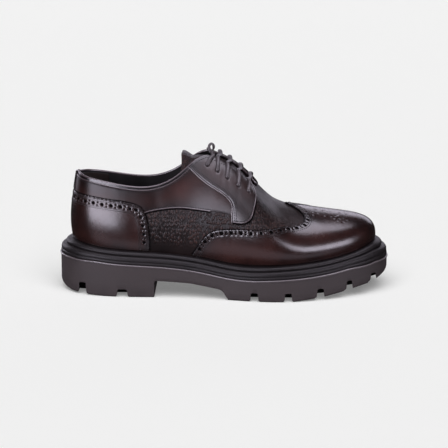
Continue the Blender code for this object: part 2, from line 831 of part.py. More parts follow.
def throat_edge_at(x):
    """The station and height of the throat's edge at x."""
    u = np.linspace(PEAK, THROAT_END, 101)
    station = float(np.interp(x, surface(u, edge(u))[:, 0], u))
    return station, float(edge(station))


def lace_route(along, below, rise):
    """The middle line of one bar of the lace, from eyelet to eyelet straight over the throat."""
    lift = OVERLAY_HIGH + GAP + LACE_THICK / 2
    x = LAST_LENGTH * (along - 0.5)
    _, rim_height = throat_edge_at(x)
    ends = []
    for side in (1, -1):
        run = []
        for height in (rim_height - below, rim_height - below / 2, rim_height - 0.01):
            station = side * station_at(x, height)
            run.append(surface(station, height) + lift * surface_normal(station, height))
        ends.append(run)
    ridge = np.linspace(PEAK, RIDGE_TO, 101)
    ridge_line = top_line(ridge)
    top = np.array([np.interp(x, ridge_line[:, 0], ridge_line[:, k]) for k in range(3)])
    over_tongue = TONGUE_CROWN - WALL - TONGUE_CLEAR + GAP + LACE_THICK * (0.5 + rise)
    middle = top + [LACE_LEAD, 0, over_tongue]
    return ends[0] + [middle] + ends[1][::-1]


def make_lace(number, bar, material):
    points = lace_route(*bar)
    knots = np.concatenate([[0], np.cumsum([np.linalg.norm(b - a) for a, b in zip(points, points[1:])])])
    curves = [open_spline(knots, [p[k] for p in points]) for k in range(3)]
    where = np.linspace(0, knots[-1], 15)
    route = np.stack([curve(where) for curve in curves], -1)
    curve = bpy.data.curves.new(f"lace_bar_{number}", "CURVE")
    curve.dimensions = "3D"
    curve.bevel_depth = LACE_THICK / 2
    curve.bevel_resolution = 2
    curve.use_fill_caps = True
    spline = curve.splines.new("POLY")
    spline.points.add(len(route) - 1)
    for point, place in zip(spline.points, route):
        point.co = (*place, 1)
    curve.materials.append(material)
    made = bpy.data.objects.new(f"lace_bar_{number}", curve)
    bpy.context.collection.objects.link(made)
    return made


def make_upper(material):
    index = {(i, j): i * (ROWS + 1) + j for i in range(RING) for j in range(ROWS + 1)}
    faces = []
    for i in range(RING):
        for j in range(ROWS):
            a, b = index[i, j], index[(i + 1) % RING, j]
            faces += [(a, b, b + 1), (a, b + 1, a + 1)]
    high = GRID_POINTS.reshape(-1, 3)
    low = (GRID_POINTS - WALL * GRID_NORMALS).reshape(-1, 3)
    return thicken("upper", low, high, faces, material)


def stand_on_floor():
    """Parents every piece to one empty that puts the sole's middle over the origin."""
    widest = sole_ring(reach(SOLE_LOOP) * max(row[REACH] for row in MIDSOLE_FACE))
    middle = (widest.min(0) + widest.max(0)) / 2
    shoe = bpy.data.objects.new("shoe", None)
    pieces = list(bpy.data.objects)
    bpy.context.collection.objects.link(shoe)
    shoe.location = (-middle[0], -middle[1], 0)
    for piece in pieces:
        if piece is not shoe:
            piece.parent = shoe


def main():
    for old in list(bpy.data.objects):
        bpy.data.objects.remove(old, do_unlink=True)
    leather = make_material("leather", (0.050, 0.030, 0.032), 0.35)
    overlay = make_material("overlay leather", (0.070, 0.045, 0.050), 0.3)
    lining = make_material("lining", (0.02, 0.017, 0.018), 0.6)
    rubber = make_material("rubber", (0.075, 0.055, 0.058), 0.7)
    rim_rubber = make_material("rim rubber", (0.03, 0.026, 0.028), 0.35)
    cord = make_material("waxed cord", (0.03, 0.02, 0.02), 0.5)
    make_outsole(rubber, rubber)
    make_midsole(rim_rubber)
    make_welt(rim_rubber)
    make_insole(lining)
    make_upper(leather)
    make_tongue(leather)
    panel("counter", counter_outline(), OVERLAY_LOW, OVERLAY_HIGH, overlay)
    panel("heel_strip", strip_outline(), OVERLAY_LOW, OVERLAY_HIGH, overlay)
    panel("wing_cap", wing_outline(), OVERLAY_LOW, OVERLAY_HIGH, overlay)
    panel("facing_outer", facing_outline(), OVERLAY_LOW, OVERLAY_HIGH, overlay)
    panel("facing_inner", mirrored(facing_outline()), OVERLAY_LOW, OVERLAY_HIGH, overlay)
    for number, bar in enumerate(LACE_BARS, 1):
        make_lace(number, bar, cord)
    stand_on_floor()


main()
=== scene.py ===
"""The looks of a men's brogue derby shoe: leather, brogueing, stitches, laces and rubber.

Lengths are in metres. +X points to the toe, -Y is the outer side and +Z is up.
"""

import math

import bmesh
import bpy
import numpy as np
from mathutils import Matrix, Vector
from mathutils.geometry import delaunay_2d_cdt


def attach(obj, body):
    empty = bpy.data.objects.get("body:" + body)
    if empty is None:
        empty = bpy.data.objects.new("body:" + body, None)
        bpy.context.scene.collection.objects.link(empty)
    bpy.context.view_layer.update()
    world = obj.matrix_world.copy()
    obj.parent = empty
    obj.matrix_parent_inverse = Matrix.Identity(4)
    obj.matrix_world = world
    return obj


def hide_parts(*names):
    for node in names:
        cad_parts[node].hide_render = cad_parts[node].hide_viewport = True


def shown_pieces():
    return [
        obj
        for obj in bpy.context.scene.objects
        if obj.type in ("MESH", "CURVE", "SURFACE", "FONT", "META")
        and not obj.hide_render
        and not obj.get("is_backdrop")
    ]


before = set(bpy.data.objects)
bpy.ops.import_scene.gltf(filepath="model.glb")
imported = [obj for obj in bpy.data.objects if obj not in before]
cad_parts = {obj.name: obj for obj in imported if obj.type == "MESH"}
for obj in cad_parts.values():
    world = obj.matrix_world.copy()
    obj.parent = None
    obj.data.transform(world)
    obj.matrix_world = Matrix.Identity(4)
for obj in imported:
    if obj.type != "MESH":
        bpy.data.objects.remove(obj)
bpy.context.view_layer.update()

MM = 0.001

# The last
LAST_LENGTH = 286 * MM
BALL_WIDTH = 96 * MM
INSTEP_HEIGHT = 100 * MM
CONE_WIDTH = 46 * MM
TOE_SWING = 8 * MM

# The sole
SOLE_FLOOR = 17.5 * MM
RIM_HEIGHT = 12.8 * MM
HEEL_RIM_EXTRA = 2.4 * MM
TOE_RIM_EXTRA = 4.4 * MM
HEEL_PITCH = 16 * MM
TOE_SPRING = 15 * MM
SIDE_REACH = 10 * MM
END_REACH = 13 * MM

# The leather
WALL = 2.4 * MM
OVERLAY = 1.1 * MM
INSOLE_THICK = 3 * MM
INSOLE_CLEAR = 1.6 * MM
GAP = 0.3 * MM

# The height of the feather line at the ball, where the sole is flattest
SEAT_RISE = 1 * MM
PLATFORM = SOLE_FLOOR + RIM_HEIGHT + SEAT_RISE

# One row for each station round the shoe, from the heel's back to the toe's tip.
# station: the parameter, 0 at the back and 1 at the tip
# along, outer, inner: the feather line, as shares of the last's length and the ball's width
# top_along, top_half, top_height: the line where the section ends above, as shares of the
#   last's length, of the cone's width and of the instep's height over the platform
# lean_out, lean_in: how far each side leans outwards where it leaves the sole, in degrees
# low, high: the lengths of the section's two handles, as shares of its chord
# turn: the slope of the section at its top, in degrees
STATION, ALONG, OUTER, INNER, TOP_ALONG, TOP_HALF, TOP_HEIGHT = range(7)
LEAN_OUT, LEAN_IN, LOW, HIGH, TURN = range(7, 12)
SECTIONS = (
    # station along outer inner | top_along half height | lean_out in  low  high turn
    (0.000, 0.000, 0.000, 0.000, 0.020, 0.00, 0.930, 12, 12, 0.36, 0.34, 84),
    (0.065, 0.032, 0.215, 0.210, 0.036, 0.46, 0.930, 12, 11, 0.36, 0.34, 83),
    (0.150, 0.120, 0.340, 0.335, 0.105, 0.86, 0.910, 12, 9, 0.34, 0.34, 80),
    (0.280, 0.270, 0.365, 0.320, 0.236, 0.94, 0.900, 12, 4, 0.34, 0.34, 74),
    (0.410, 0.420, 0.390, 0.315, 0.350, 0.62, 1.000, 13, 2, 0.34, 0.34, 56),
    (0.525, 0.545, 0.465, 0.380, 0.445, 0.14, 1.060, 16, 8, 0.34, 0.38, 24),
    (0.630, 0.665, 0.520, 0.460, 0.540, 0.00, 0.890, 20, 16, 0.34, 0.42, 4),
    (0.730, 0.775, 0.475, 0.485, 0.640, 0.00, 0.583, 22, 20, 0.34, 0.42, 0),
    (0.815, 0.865, 0.375, 0.445, 0.725, 0.00, 0.470, 20, 18, 0.36, 0.46, 0),
    (0.890, 0.940, 0.240, 0.350, 0.795, 0.00, 0.430, 15, 14, 0.40, 0.50, 0),
    (0.950, 0.985, 0.085, 0.230, 0.845, 0.00, 0.408, 10, 10, 0.45, 0.57, 0),
    (1.000, 1.000, -0.075, 0.075, 0.865, 0.00, 0.400, 8, 8, 0.46, 0.58, 0),
)

# The seat: the height of the feather line over the platform, along the shoe
# along: share of the last's length; pitch: share of the heel's pitch; spring: of the toe's
SEAT = (
    (0.00, 1.06, 0.00),
    (0.06, 0.92, 0.00),
    (0.12, 0.80, 0.00),
    (0.26, 0.65, 0.00),
    (0.36, 0.51, 0.00),
    (0.44, 0.32, 0.00),
    (0.52, 0.09, 0.00),
    (0.60, 0.00, 0.03),
    (0.67, 0.00, 0.09),
    (0.75, 0.00, 0.18),
    (0.85, 0.00, 0.36),
    (0.94, 0.00, 0.67),
    (1.00, 0.00, 0.98),
)


def smoothstep(low, high, value):
    """0 below low, 1 above high, and a smooth rise between."""
    share = np.clip((np.asarray(value, float) - low) / (high - low), 0, 1)
    return share * share * (3 - 2 * share)


def open_spline(knots, values):
    """The natural cubic spline through the values, as a function."""
    knots = np.asarray(knots, float)
    values = np.asarray(values, float)
    count = len(knots)
    step = np.diff(knots)
    system = np.zeros((count, count))
    right = np.zeros(count)
    system[0, 0] = system[-1, -1] = 1
    for i in range(1, count - 1):
        system[i, i - 1 : i + 2] = step[i - 1], 2 * (step[i - 1] + step[i]), step[i]
        right[i] = 6 * ((values[i + 1] - values[i]) / step[i] - (values[i] - values[i - 1]) / step[i - 1])
    bend = np.linalg.solve(system, right)

    def at(where):
        where = np.clip(np.asarray(where, float), knots[0], knots[-1])
        i = np.clip(np.searchsorted(knots, where, side="right") - 1, 0, count - 2)
        h, left, past = step[i], knots[i + 1] - where, where - knots[i]
        return (
            bend[i] * left**3 / (6 * h)
            + bend[i + 1] * past**3 / (6 * h)
            + (values[i] / h - bend[i] * h / 6) * left
            + (values[i + 1] / h - bend[i + 1] * h / 6) * past
        )

    return at


def loop_spline(outer, inner):
    """A smooth closed curve round the shoe: the outer side's values at 0 to 1, the inner's at 0 to -1."""
    stations = [row[STATION] for row in SECTIONS]
    back = [-s for s in stations[:0:-1]]
    knots = back + stations
    values = list(inner[:0:-1]) + list(outer)
    wrap = 3
    around_knots = [k - 2 for k in knots[-1 - wrap : -1]] + knots + [k + 2 for k in knots[1 : 1 + wrap]]
    around = values[-1 - wrap : -1] + values + values[1 : 1 + wrap]
    return open_spline(around_knots, around)


def column(index):
    """One column of the last's table."""
    return [row[index] for row in SECTIONS]


def both(index):
    """A curve round the last, alike on both of its sides."""
    return loop_spline(column(index), column(index))


FEATHER_X = both(ALONG)
FEATHER_Y = loop_spline([-v for v in column(OUTER)], column(INNER))
TOP_X = both(TOP_ALONG)
TOP_Y = both(TOP_HALF)
TOP_Z = both(TOP_HEIGHT)
LEAN = loop_spline(column(LEAN_OUT), column(LEAN_IN))
LOW_HANDLE = both(LOW)
HIGH_HANDLE = both(HIGH)
TOP_TURN = both(TURN)
SEAT_PITCH = open_spline([row[0] for row in SEAT], [row[1] for row in SEAT])
SEAT_SPRING = open_spline([row[0] for row in SEAT], [row[2] for row in SEAT])
RIDGE_FROM = 0.60
RIDGE_TO = 0.97


def seat(x):
    """The height of the feather line at x."""
    along = np.asarray(x) / LAST_LENGTH + 0.5
    return PLATFORM + HEEL_PITCH * SEAT_PITCH(along) + TOE_SPRING * SEAT_SPRING(along)


def centre_line(x):
    """The middle of the last swings to the inner side at the toe."""
    return TOE_SWING * smoothstep(0.0, 1.0, np.asarray(x) / LAST_LENGTH + 0.5) ** 2


def feather(u):
    """The line where the upper meets the sole. u runs from 0 at the heel's back to 1 at the toe, and is
    negative on the inner side."""
    x = LAST_LENGTH * (FEATHER_X(u) - 0.5)
    y = BALL_WIDTH * FEATHER_Y(u)
    return np.stack([x, y, seat(x)], -1)


def outward(u):
    """The level direction that leaves the feather line squarely."""
    small = 1e-4
    ahead, behind = feather(u + small), feather(u - small)
    along = ahead - behind
    normal = np.stack([along[..., 1], -along[..., 0], np.zeros_like(along[..., 0])], -1)
    return normal / np.linalg.norm(normal, axis=-1, keepdims=True)


def top_line(u):
    """Where each section ends above: the ridge in front, and a line over the collar behind."""
    u = np.asarray(u, float)
    x = LAST_LENGTH * (TOP_X(u) - 0.5)
    half = CONE_WIDTH / 2 * TOP_Y(u) * (1 - smoothstep(RIDGE_FROM - 0.12, RIDGE_FROM, np.abs(u)))
    y = centre_line(x) - np.sign(u) * np.maximum(half, 0)
    return np.stack([x, y, PLATFORM + INSTEP_HEIGHT * TOP_Z(u)], -1)


def surface(u, t):
    """The outer face of the base leather. t runs from 0 at the feather line to 1 at the top line."""
    u, t = np.broadcast_arrays(np.asarray(u, float), np.asarray(t, float))
    low, high = feather(u), top_line(u)
    chord = np.linalg.norm(high - low, axis=-1, keepdims=True)
    lean = np.radians(LEAN(u))[..., None]
    turn = np.radians(TOP_TURN(u))[..., None]
    up = np.array([0.0, 0.0, 1.0])
    level = (low - high) * [1, 1, 0]
    level = level / np.maximum(np.linalg.norm(level, axis=-1, keepdims=True), 1e-9)
    on_ridge = np.clip(np.abs(u), RIDGE_FROM - 0.2, RIDGE_TO)
    ridge = top_line(on_ridge + 1e-3) - top_line(on_ridge - 1e-3)
    slope = ridge[..., 2] / ridge[..., 0]
    fall = (slope * level[..., 0] * smoothstep(RIDGE_FROM - 0.2, RIDGE_FROM, np.abs(u)))[..., None]
    first = low + chord * LOW_HANDLE(u)[..., None] * (np.sin(lean) * outward(u) + np.cos(lean) * up)
    leave = np.cos(turn) * (level + fall * up) - np.sin(turn) * up
    second = high + chord * HIGH_HANDLE(u)[..., None] * leave
    t = t[..., None]
    return (1 - t) ** 3 * low + 3 * t * (1 - t) ** 2 * first + 3 * t**2 * (1 - t) * second + t**3 * high


# The collar and throat: how far up its section the leather reaches at each station
# Behind the peak it is the collar's edge, and before it the throat's, which ends on the ridge.
COLLAR = (
    (0.000, 0.845),
    (0.060, 0.815),
    (0.130, 0.800),
    (0.200, 0.778),
    (0.270, 0.757),
    (0.340, 0.770),
    (0.388, 0.810),
    (0.436, 0.863),
    (0.474, 0.890),
    (0.502, 0.895),
)
THROAT = (
    (0.502, 0.895),
    (0.524, 0.858),
    (0.546, 0.836),
    (0.584, 0.830),
    (0.620, 0.845),
    (0.650, 0.870),
    (0.676, 0.910),
    (0.700, 1.000),
)
PEAK = 0.502
THROAT_END = 0.700
COLLAR_EDGE = open_spline([row[0] for row in COLLAR], [row[1] for row in COLLAR])
THROAT_EDGE = open_spline([row[0] for row in THROAT], [row[1] for row in THROAT])


def edge(u):
    """How far up the section at u the leather reaches."""
    away = np.abs(np.asarray(u, float))
    return np.where(away < PEAK, COLLAR_EDGE(away), np.where(away < THROAT_END, THROAT_EDGE(away), 1.0))


def smooth_run(run, pieces=3):
    """A curve through one run of a table's points, made denser, without its last point."""
    points = np.array([row[:2] for row in run], float)
    if len(run) == 2:
        shares = np.linspace(0, 1, pieces + 1)[:-1, None]
        return [tuple(p) for p in (points[0] + shares * (points[1] - points[0])).tolist()]
    steps = np.linalg.norm(np.diff(points * [3, 1], axis=0), axis=1)
    gone = np.concatenate([[0], np.cumsum(steps)])
    where = np.concatenate([np.linspace(a, b, pieces + 1)[:-1] for a, b in zip(gone, gone[1:])])
    across = open_spline(gone, points[:, 0])
    up = open_spline(gone, points[:, 1])
    return list(zip(across(where).tolist(), up(where).tolist()))


def smooth_outline(rows, pieces=3):
    """A closed table of points made denser, each run from corner to corner by its own curve."""
    count = len(rows)
    corners = [i for i, row in enumerate(rows) if row[2]]
    dense = []
    for start, stop in zip(corners, corners[1:] + [corners[0] + count]):
        dense += smooth_run([rows[i % count] for i in range(start, stop + 1)], pieces)
    return dense


def flat_area(corners):
    """The area of a flat triangle."""
    a, b, c = corners
    return abs((b[0] - a[0]) * (c[1] - a[1]) - (b[1] - a[1]) * (c[0] - a[0])) / 2


# The overlays' outlines: station, height up the section, and whether the outline turns a corner there.
# A station over 1 has passed the toe, and a negative one the heel, to the inner side.
PANEL_FOOT = 0.02
COUNTER_SIDE = (
    (0.000, 0.600, False),
    (0.052, 0.600, False),
    (0.098, 0.603, False),
    (0.160, 0.602, False),
    (0.226, 0.585, False),
    (0.256, 0.535, False),
    (0.266, 0.450, False),
    (0.270, 0.367, False),
    (0.271, 0.153, False),
    (0.270, PANEL_FOOT, True),
)
STRIP_SIDE = (
    (0.000, 0.845, False),
    (0.016, 0.842, True),
    (0.014, 0.740, False),
    (0.017, 0.670, False),
    (0.030, 0.622, True),
)
WING_SIDE = (
    (0.390, PANEL_FOOT, True),
    (0.416, 0.143, False),
    (0.440, 0.225, False),
    (0.466, 0.267, False),
    (0.496, 0.280, False),
    (0.544, 0.297, False),
    (0.590, 0.323, False),
    (0.646, 0.397, False),
    (0.690, 0.480, False),
    (0.742, 0.537, False),
    (0.762, 0.570, False),
    (0.776, 0.627, False),
    (0.788, 0.700, False),
    (0.796, 0.800, False),
    (0.798, 0.910, False),
    (0.792, 1.000, True),
)
FACING = (
    (0.430, 0.858, True),
    (0.468, 0.673, False),
    (0.496, 0.597, False),
    (0.524, 0.537, False),
    (0.534, 0.497, False),
    (0.531, 0.420, False),
    (0.526, 0.347, True),
    (0.554, 0.353, False),
    (0.576, 0.393, False),
    (0.592, 0.470, False),
    (0.612, 0.597, False),
    (0.632, 0.730, False),
    (0.640, 0.861, True),
)
OVERLAY_HIGH = GAP + OVERLAY

# The sole. reach is a share of how far the sole reaches beyond the feather line, inset a length inside it;
# depth is a share of the rim's height under the feather line.
REACH, DEPTH = range(2)
WELT_WIDTH = 8 * MM
WELT_FACE = (
    (0.20, 0.00),
    (0.42, 0.03),
    (0.56, 0.11),
    (0.62, 0.20),
    (0.59, 0.29),
)
MIDSOLE_FACE = (
    (0.76, 0.33),
    (0.86, 0.37),
    (0.95, 0.47),
    (0.97, 0.63),
    (0.93, 0.67),
    (0.98, 0.72),
    (1.00, 0.80),
    (0.97, 0.92),
    (1.01, 0.97),
    (0.98, 1.00),
)
SOLE_EDGE = 1.6 * MM

# The tread's profile: share of the sole's half length from its middle, height as a share of the outsole's
TREAD = (
    (-1.000, 0.44),
    (-0.985, 0.30),
    (-0.960, 0.19),
    (-0.920, 0.10),
    (-0.850, 0.05),
    (-0.720, 0.00),
    (0.420, 0.00),
    (0.500, 0.07),
    (0.600, 0.16),
    (0.700, 0.31),
    (0.800, 0.48),
    (0.880, 0.60),
    (0.940, 0.76),
    (0.985, 0.94),
    (1.000, 1.08),
)
ARCH = (
    (-0.415, 0.93),
    (-0.200, 0.82),
    (-0.015, 0.56),
    (0.006, 0.40),
    (0.016, 0.22),
    (0.030, 0.08),
)
# Each notch in the sole's sides: its middle and width as shares of the sole's half length, its height
# as a share of the outsole's
NOTCHES = (
    (-0.853, 0.046, 0.52),
    (-0.608, 0.064, 0.36),
    (0.190, 0.046, 0.40),
    (0.393, 0.044, 0.40),
    (0.586, 0.042, 0.42),
    (0.762, 0.036, 0.42),
    (0.910, 0.034, 0.36),
)
NOTCH_REACH = 17 * MM
NOTCH_BEYOND = 14 * MM
NOTCH_BELOW = 6 * MM
NOTCH_FLARE = 1 * MM
NOTCH_FOOT = 2 * MM
CUT_BELOW = 10 * MM
BREAST_SLOPE = 3 * MM
SOLE_HALF = LAST_LENGTH / 2 + END_REACH


def reach(u):
    """How far the sole reaches beyond the feather line."""
    ends = smoothstep(0.16, 0.0, np.abs(u)) + smoothstep(0.84, 1.0, np.abs(u))
    return SIDE_REACH + (END_REACH - SIDE_REACH) * ends


def rim(x):
    """The height from the outsole's top to the feather line."""
    along = np.asarray(x) / LAST_LENGTH + 0.5
    heel_extra = HEEL_RIM_EXTRA * smoothstep(0.09, 0.0, along)
    return RIM_HEIGHT + heel_extra + TOE_RIM_EXTRA * smoothstep(0.90, 1.0, along)


def tread(x):
    """The height of the sole's underside, before the arch is cut."""
    share = np.clip(np.asarray(x) / SOLE_HALF, -1, 1)
    return SOLE_FLOOR * np.interp(share, [row[0] for row in TREAD], [row[1] for row in TREAD])


# The shoe stands with the middle of its sole over the origin
WIDEST = max(row[REACH] for row in MIDSOLE_FACE)


def sole_shift():
    """What moves the sole's outline to the middle of the floor."""
    stations = np.linspace(-1, 1, 57)
    ring = feather(stations) + outward(stations) * (reach(stations) * WIDEST)[:, None]
    return -(ring.min(0) + ring.max(0)) / 2 * [1, 1, 0]


SHIFT = sole_shift()

# Creases laid in the leather: station and height of the middle, direction over the leather in
# degrees from level, half length, width and depth in millimetres; a negative depth is a ridge
CREASES = (
    # station height direction length width depth
    (0.500, 0.700, 62, 7, 1.5, 0.22),
    (0.512, 0.640, 58, 9, 1.7, 0.25),
    (0.533, 0.610, 66, 8, 1.6, 0.22),
    (0.556, 0.560, 72, 8, 1.8, 0.20),
    (0.522, 0.740, 50, 5, 1.4, -0.16),
    (0.548, 0.690, 60, 6, 1.5, -0.16),
    (0.470, 0.800, 40, 5, 1.6, 0.16),
    (0.499, 0.215, 84, 7, 1.6, 0.14),
    (0.516, 0.215, 88, 7, 1.5, 0.14),
    (0.508, 0.215, 86, 6, 1.5, -0.12),
    (0.625, 0.560, 118, 18, 5.0, 0.14),
    (0.652, 0.600, 122, 20, 5.5, 0.16),
    (0.638, 0.580, 120, 18, 5.0, -0.10),
    (0.300, 0.640, 92, 16, 7.0, 0.30),
    (0.232, 0.340, 88, 20, 6.0, 0.25),
    (0.350, 0.380, 100, 10, 3.0, 0.18),
    (0.420, 0.300, 70, 12, 3.5, 0.20),
    (0.385, 0.690, 20, 18, 5.0, 0.18),
)
AROUND = 315 * MM
UP_SECTION = 90 * MM


def relief(u, t):
    """How far the creases lift the leather."""
    lift = np.zeros(np.broadcast(u, t).shape)
    for station, height, direction, length, width, depth in CREASES:
        angle = math.radians(direction)
        across_u = (np.abs(u) - station) * AROUND
        up_t = (t - height) * UP_SECTION
        along = (across_u * math.cos(angle) + up_t * math.sin(angle)) / (length * MM)
        aside = (up_t * math.cos(angle) - across_u * math.sin(angle)) / (width * MM)
        lift = lift - depth * MM * np.exp(-(along**4)) * np.exp(-(aside**2))
    return lift


def surface_normal(u, t):
    """The outward normal of the base leather."""
    small = 1e-4
    along = surface(u + small, t) - surface(u - small, t)
    up = surface(u, t + small) - surface(u, t - small)
    across = np.cross(along, up)
    return across / np.linalg.norm(across, axis=-1, keepdims=True)


def place(u, t, lift=0.0):
    """Points over the leather. A station over 1 has passed the toe to the inner side."""
    u, t, lift = np.broadcast_arrays(np.asarray(u, float), np.asarray(t, float), lift)
    u = np.where(u > 1, u - 2, u)
    normal = surface_normal(u, t)
    on_ridge = (t > 0.9999) & (np.abs(u) > THROAT_END - 1e-6)
    joined = normal + surface_normal(-u, t)
    joined = joined / np.linalg.norm(joined, axis=-1, keepdims=True)
    normal = np.where(on_ridge[..., None], joined, normal)
    return surface(u, t) + (lift + relief(u, t))[..., None] * normal + SHIFT


# Meshes


def mesh_object(name, vertices, faces, materials, kinds=None, sharp=40, tone=None):
    """A mesh object, smooth but for its sharp edges. tone is a value for each vertex that its material
    reads."""
    used = sorted({int(i) for face in faces for i in face})
    order = {old: new for new, old in enumerate(used)}
    vertices = np.asarray(vertices, float)[used]
    mesh = bpy.data.meshes.new(name)
    mesh.from_pydata(vertices.tolist(), [], [tuple(order[int(i)] for i in face) for face in faces])
    for material in materials:
        mesh.materials.append(material)
    if kinds is not None:
        mesh.polygons.foreach_set("material_index", np.asarray(kinds, np.int32))
    if tone is not None:
        attribute = mesh.attributes.new("tone", "FLOAT", "POINT")
        attribute.data.foreach_set("value", np.asarray(tone, np.float32)[used])
    work = bmesh.new()
    work.from_mesh(mesh)
    bmesh.ops.recalc_face_normals(work, faces=work.faces)
    work.to_mesh(mesh)
    work.free()
    mesh.shade_smooth()
    mesh.set_sharp_from_angle(angle=math.radians(sharp))
    made = bpy.data.objects.new(name, mesh)
    bpy.context.scene.collection.objects.link(made)
    return made


def finish_piece(made, slot, *nodes):
    """Rides the piece on the shoe and hides the plain solids that it stands for. Its slot is not used."""
    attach(made, "root")
    if nodes:
        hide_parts(*nodes)


def shaped_piece(name, shape, material, slot, *nodes, sharp=40):
    """A piece of one material, from its vertices and faces."""
    made = mesh_object(name, *shape, [material], sharp=sharp)
    finish_piece(made, slot, *nodes)


def grid_faces(rows, columns, closed=False):
    """The quads of a grid of points, row by row, closed across its columns or not."""
    faces = []
    for i in range(rows - 1):
        for j in range(columns if closed else columns - 1):
            a, b = i * columns + j, i * columns + (j + 1) % columns
            faces.append((a, b, b + columns, a + columns))
    return faces


def tube(points, radius, normals, sides, squash=1.0):
    """The vertices and faces of a cord along points, closed with a cap at each end, and squashed along
    its normals."""
    points = np.asarray(points, float)
    along = np.gradient(points, axis=0)
    along /= np.linalg.norm(along, axis=1, keepdims=True)
    sides_at = normals - along * np.sum(normals * along, 1, keepdims=True)
    sides_at /= np.linalg.norm(sides_at, axis=1, keepdims=True)
    other = np.cross(along, sides_at)
    radius = np.broadcast_to(radius, len(points))[:, None]
    turn = np.linspace(0, 2 * np.pi, sides, endpoint=False)
    rings = [points + radius * (math.cos(a) * squash * sides_at + math.sin(a) * other) for a in turn]
    vertices = np.stack(rings, 1).reshape(-1, 3)
    faces = grid_faces(len(points), sides, closed=True)
    faces.append(tuple(range(sides))[::-1])
    faces.append(tuple(range(len(vertices) - sides, len(vertices))))
    return vertices, faces


def joined(parts):
    """Several (vertices, faces) as one."""
    vertices, faces, count = [], [], 0
    for part_vertices, part_faces in parts:
        vertices.append(np.asarray(part_vertices))
        faces += [tuple(i + count for i in f) for f in part_faces]
        count += len(part_vertices)
    return np.vstack(vertices), faces


def shell(sheets, faces):
    """Two sheets of points with the same quads, closed round their open edges."""
    count = len(sheets[0])
    directed = {(f[k], f[(k + 1) % 4]) for f in faces for k in range(4)}
    solid = faces + [tuple(i + count for i in f[::-1]) for f in faces]
    solid += [(b, a, a + count, b + count) for a, b in sorted(directed) if (b, a) not in directed]
    return np.vstack(sheets), solid


def bar(lines):
    """The vertices and faces of a bar whose four corners run along four lines of points."""
    count = len(lines[0])
    faces = []
    for k in range(4):
        a, b = k * count, (k + 1) % 4 * count
        faces += [(a + i, a + i + 1, b + i + 1, b + i) for i in range(count - 1)]
    faces += [tuple(k * count for k in range(4)), tuple(k * count + count - 1 for k in range(3, -1, -1))]
    return np.vstack(lines), faces


# Lines over the leather, as arrays of station and height


def spread(points, step):
    """A line over the leather, with points a step apart."""
    points = np.asarray(points, float)
    at = place(points[:, 0], points[:, 1])
    gone = np.concatenate([[0], np.cumsum(np.linalg.norm(np.diff(at, axis=0), axis=1))])
    count = max(2, int(round(gone[-1] / step)) + 1)
    where = np.linspace(0, gone[-1], count)
    return np.stack([np.interp(where, gone, points[:, k]) for k in range(2)], -1)


def offset(points, distance):
    """A line over the leather moved to its left by a distance, which may differ from point to point."""
    points = np.asarray(points, float)
    small = 1e-4
    u, t = points[:, 0], points[:, 1]
    u = np.where(u > 1, u - 2, u)
    along_u = (surface(u + small, t) - surface(u - small, t)) / (2 * small)
    up_t = (surface(u, t + small) - surface(u, t - small)) / (2 * small)
    turn = np.gradient(points, axis=0)
    heading = along_u * turn[:, :1] + up_t * turn[:, 1:]
    heading /= np.maximum(np.linalg.norm(heading, axis=1, keepdims=True), 1e-12)
    left = np.cross(surface_normal(u, t), heading)
    aa, bb = np.sum(along_u * along_u, 1), np.sum(up_t * up_t, 1)
    ab = np.sum(along_u * up_t, 1)
    la, lb = np.sum(left * along_u, 1), np.sum(left * up_t, 1)
    det = aa * bb - ab * ab
    du, dt = (la * bb - lb * ab) / det, (lb * aa - la * ab) / det
    distance = np.broadcast_to(distance, len(points))
    return points + np.stack([du * distance, dt * distance], -1)


def curve_through(rows, pieces=8):
    """A dense line through a table of stations and heights."""
    rows = [tuple(r[:2]) for r in rows]
    return np.array(smooth_run(rows, pieces) + [rows[-1]])


def gimped(points, pitch=1.9 * MM, depth=0.5 * MM):
    """A line cut in small teeth."""
    even = spread(points, pitch / 2)
    teeth = np.where(np.arange(len(even)) % 2 == 0, 0.0, depth)
    teeth[0] = teeth[-1] = 0.0
    return offset(even, teeth)


def edge_line(start, stop, count):
    """The leather's edge round the collar and the throat, between two stations."""
    return np.array([(u, float(edge(u))) for u in np.linspace(start, stop, count)])


def mirrored_run(run):
    """A line on the other side of the shoe, still with the leather on its left."""
    return np.array(run)[::-1] * [-1, 1]


def both_sides(side_run):
    """A line from the back seam down one side, joined to its twin on the other."""
    far = np.array(side_run)[::-1] * [-1, 1]
    return np.vstack([far[:-1], side_run])


TO_METRIC = np.array([AROUND, UP_SECTION])


def within(points, outline):
    """Whether each point lies inside a closed outline."""
    hit = np.zeros(len(points), bool)
    x, y = points[:, 0], points[:, 1]
    for (ax, ay), (bx, by) in zip(outline, np.roll(outline, -1, axis=0)):
        if ay == by:
            continue
        crosses = (ay > y) != (by > y)
        hit ^= crosses & (x < ax + (y - ay) / (by - ay) * (bx - ax))
    return hit


def nearest(points, others):
    """The distance from each point to the nearest of the others."""
    best = np.full(len(points), 1e9)
    for start in range(0, len(others), 200):
        block = others[start : start + 200]
        gap = np.linalg.norm(points[:, None] - block[None], axis=2).min(1)
        best = np.minimum(best, gap)
    return best


# A panel's points: the step along a cut edge, a row of points inside it, and how far the other points
# stay from the outline, from that row and from a hole
CUT_STEP = 0.6 * MM
INSET = 1.05 * MM
INSET_STEP = 1.4 * MM
INSET_FROM_OUTLINE = 0.45 * MM
GRID_FROM_OUTLINE = 0.9 * MM
GRID_FROM_INSET = 0.8 * MM
HOLE_CLEAR = 0.9 * MM
HOLE_SIDES = 10
# A panel falls away at its cut edges, and in a lip round each hole
EDGE_DROP = 0.35 * MM
HOLE_DROP = 0.22 * MM
HOLE_LIP = 0.45 * MM
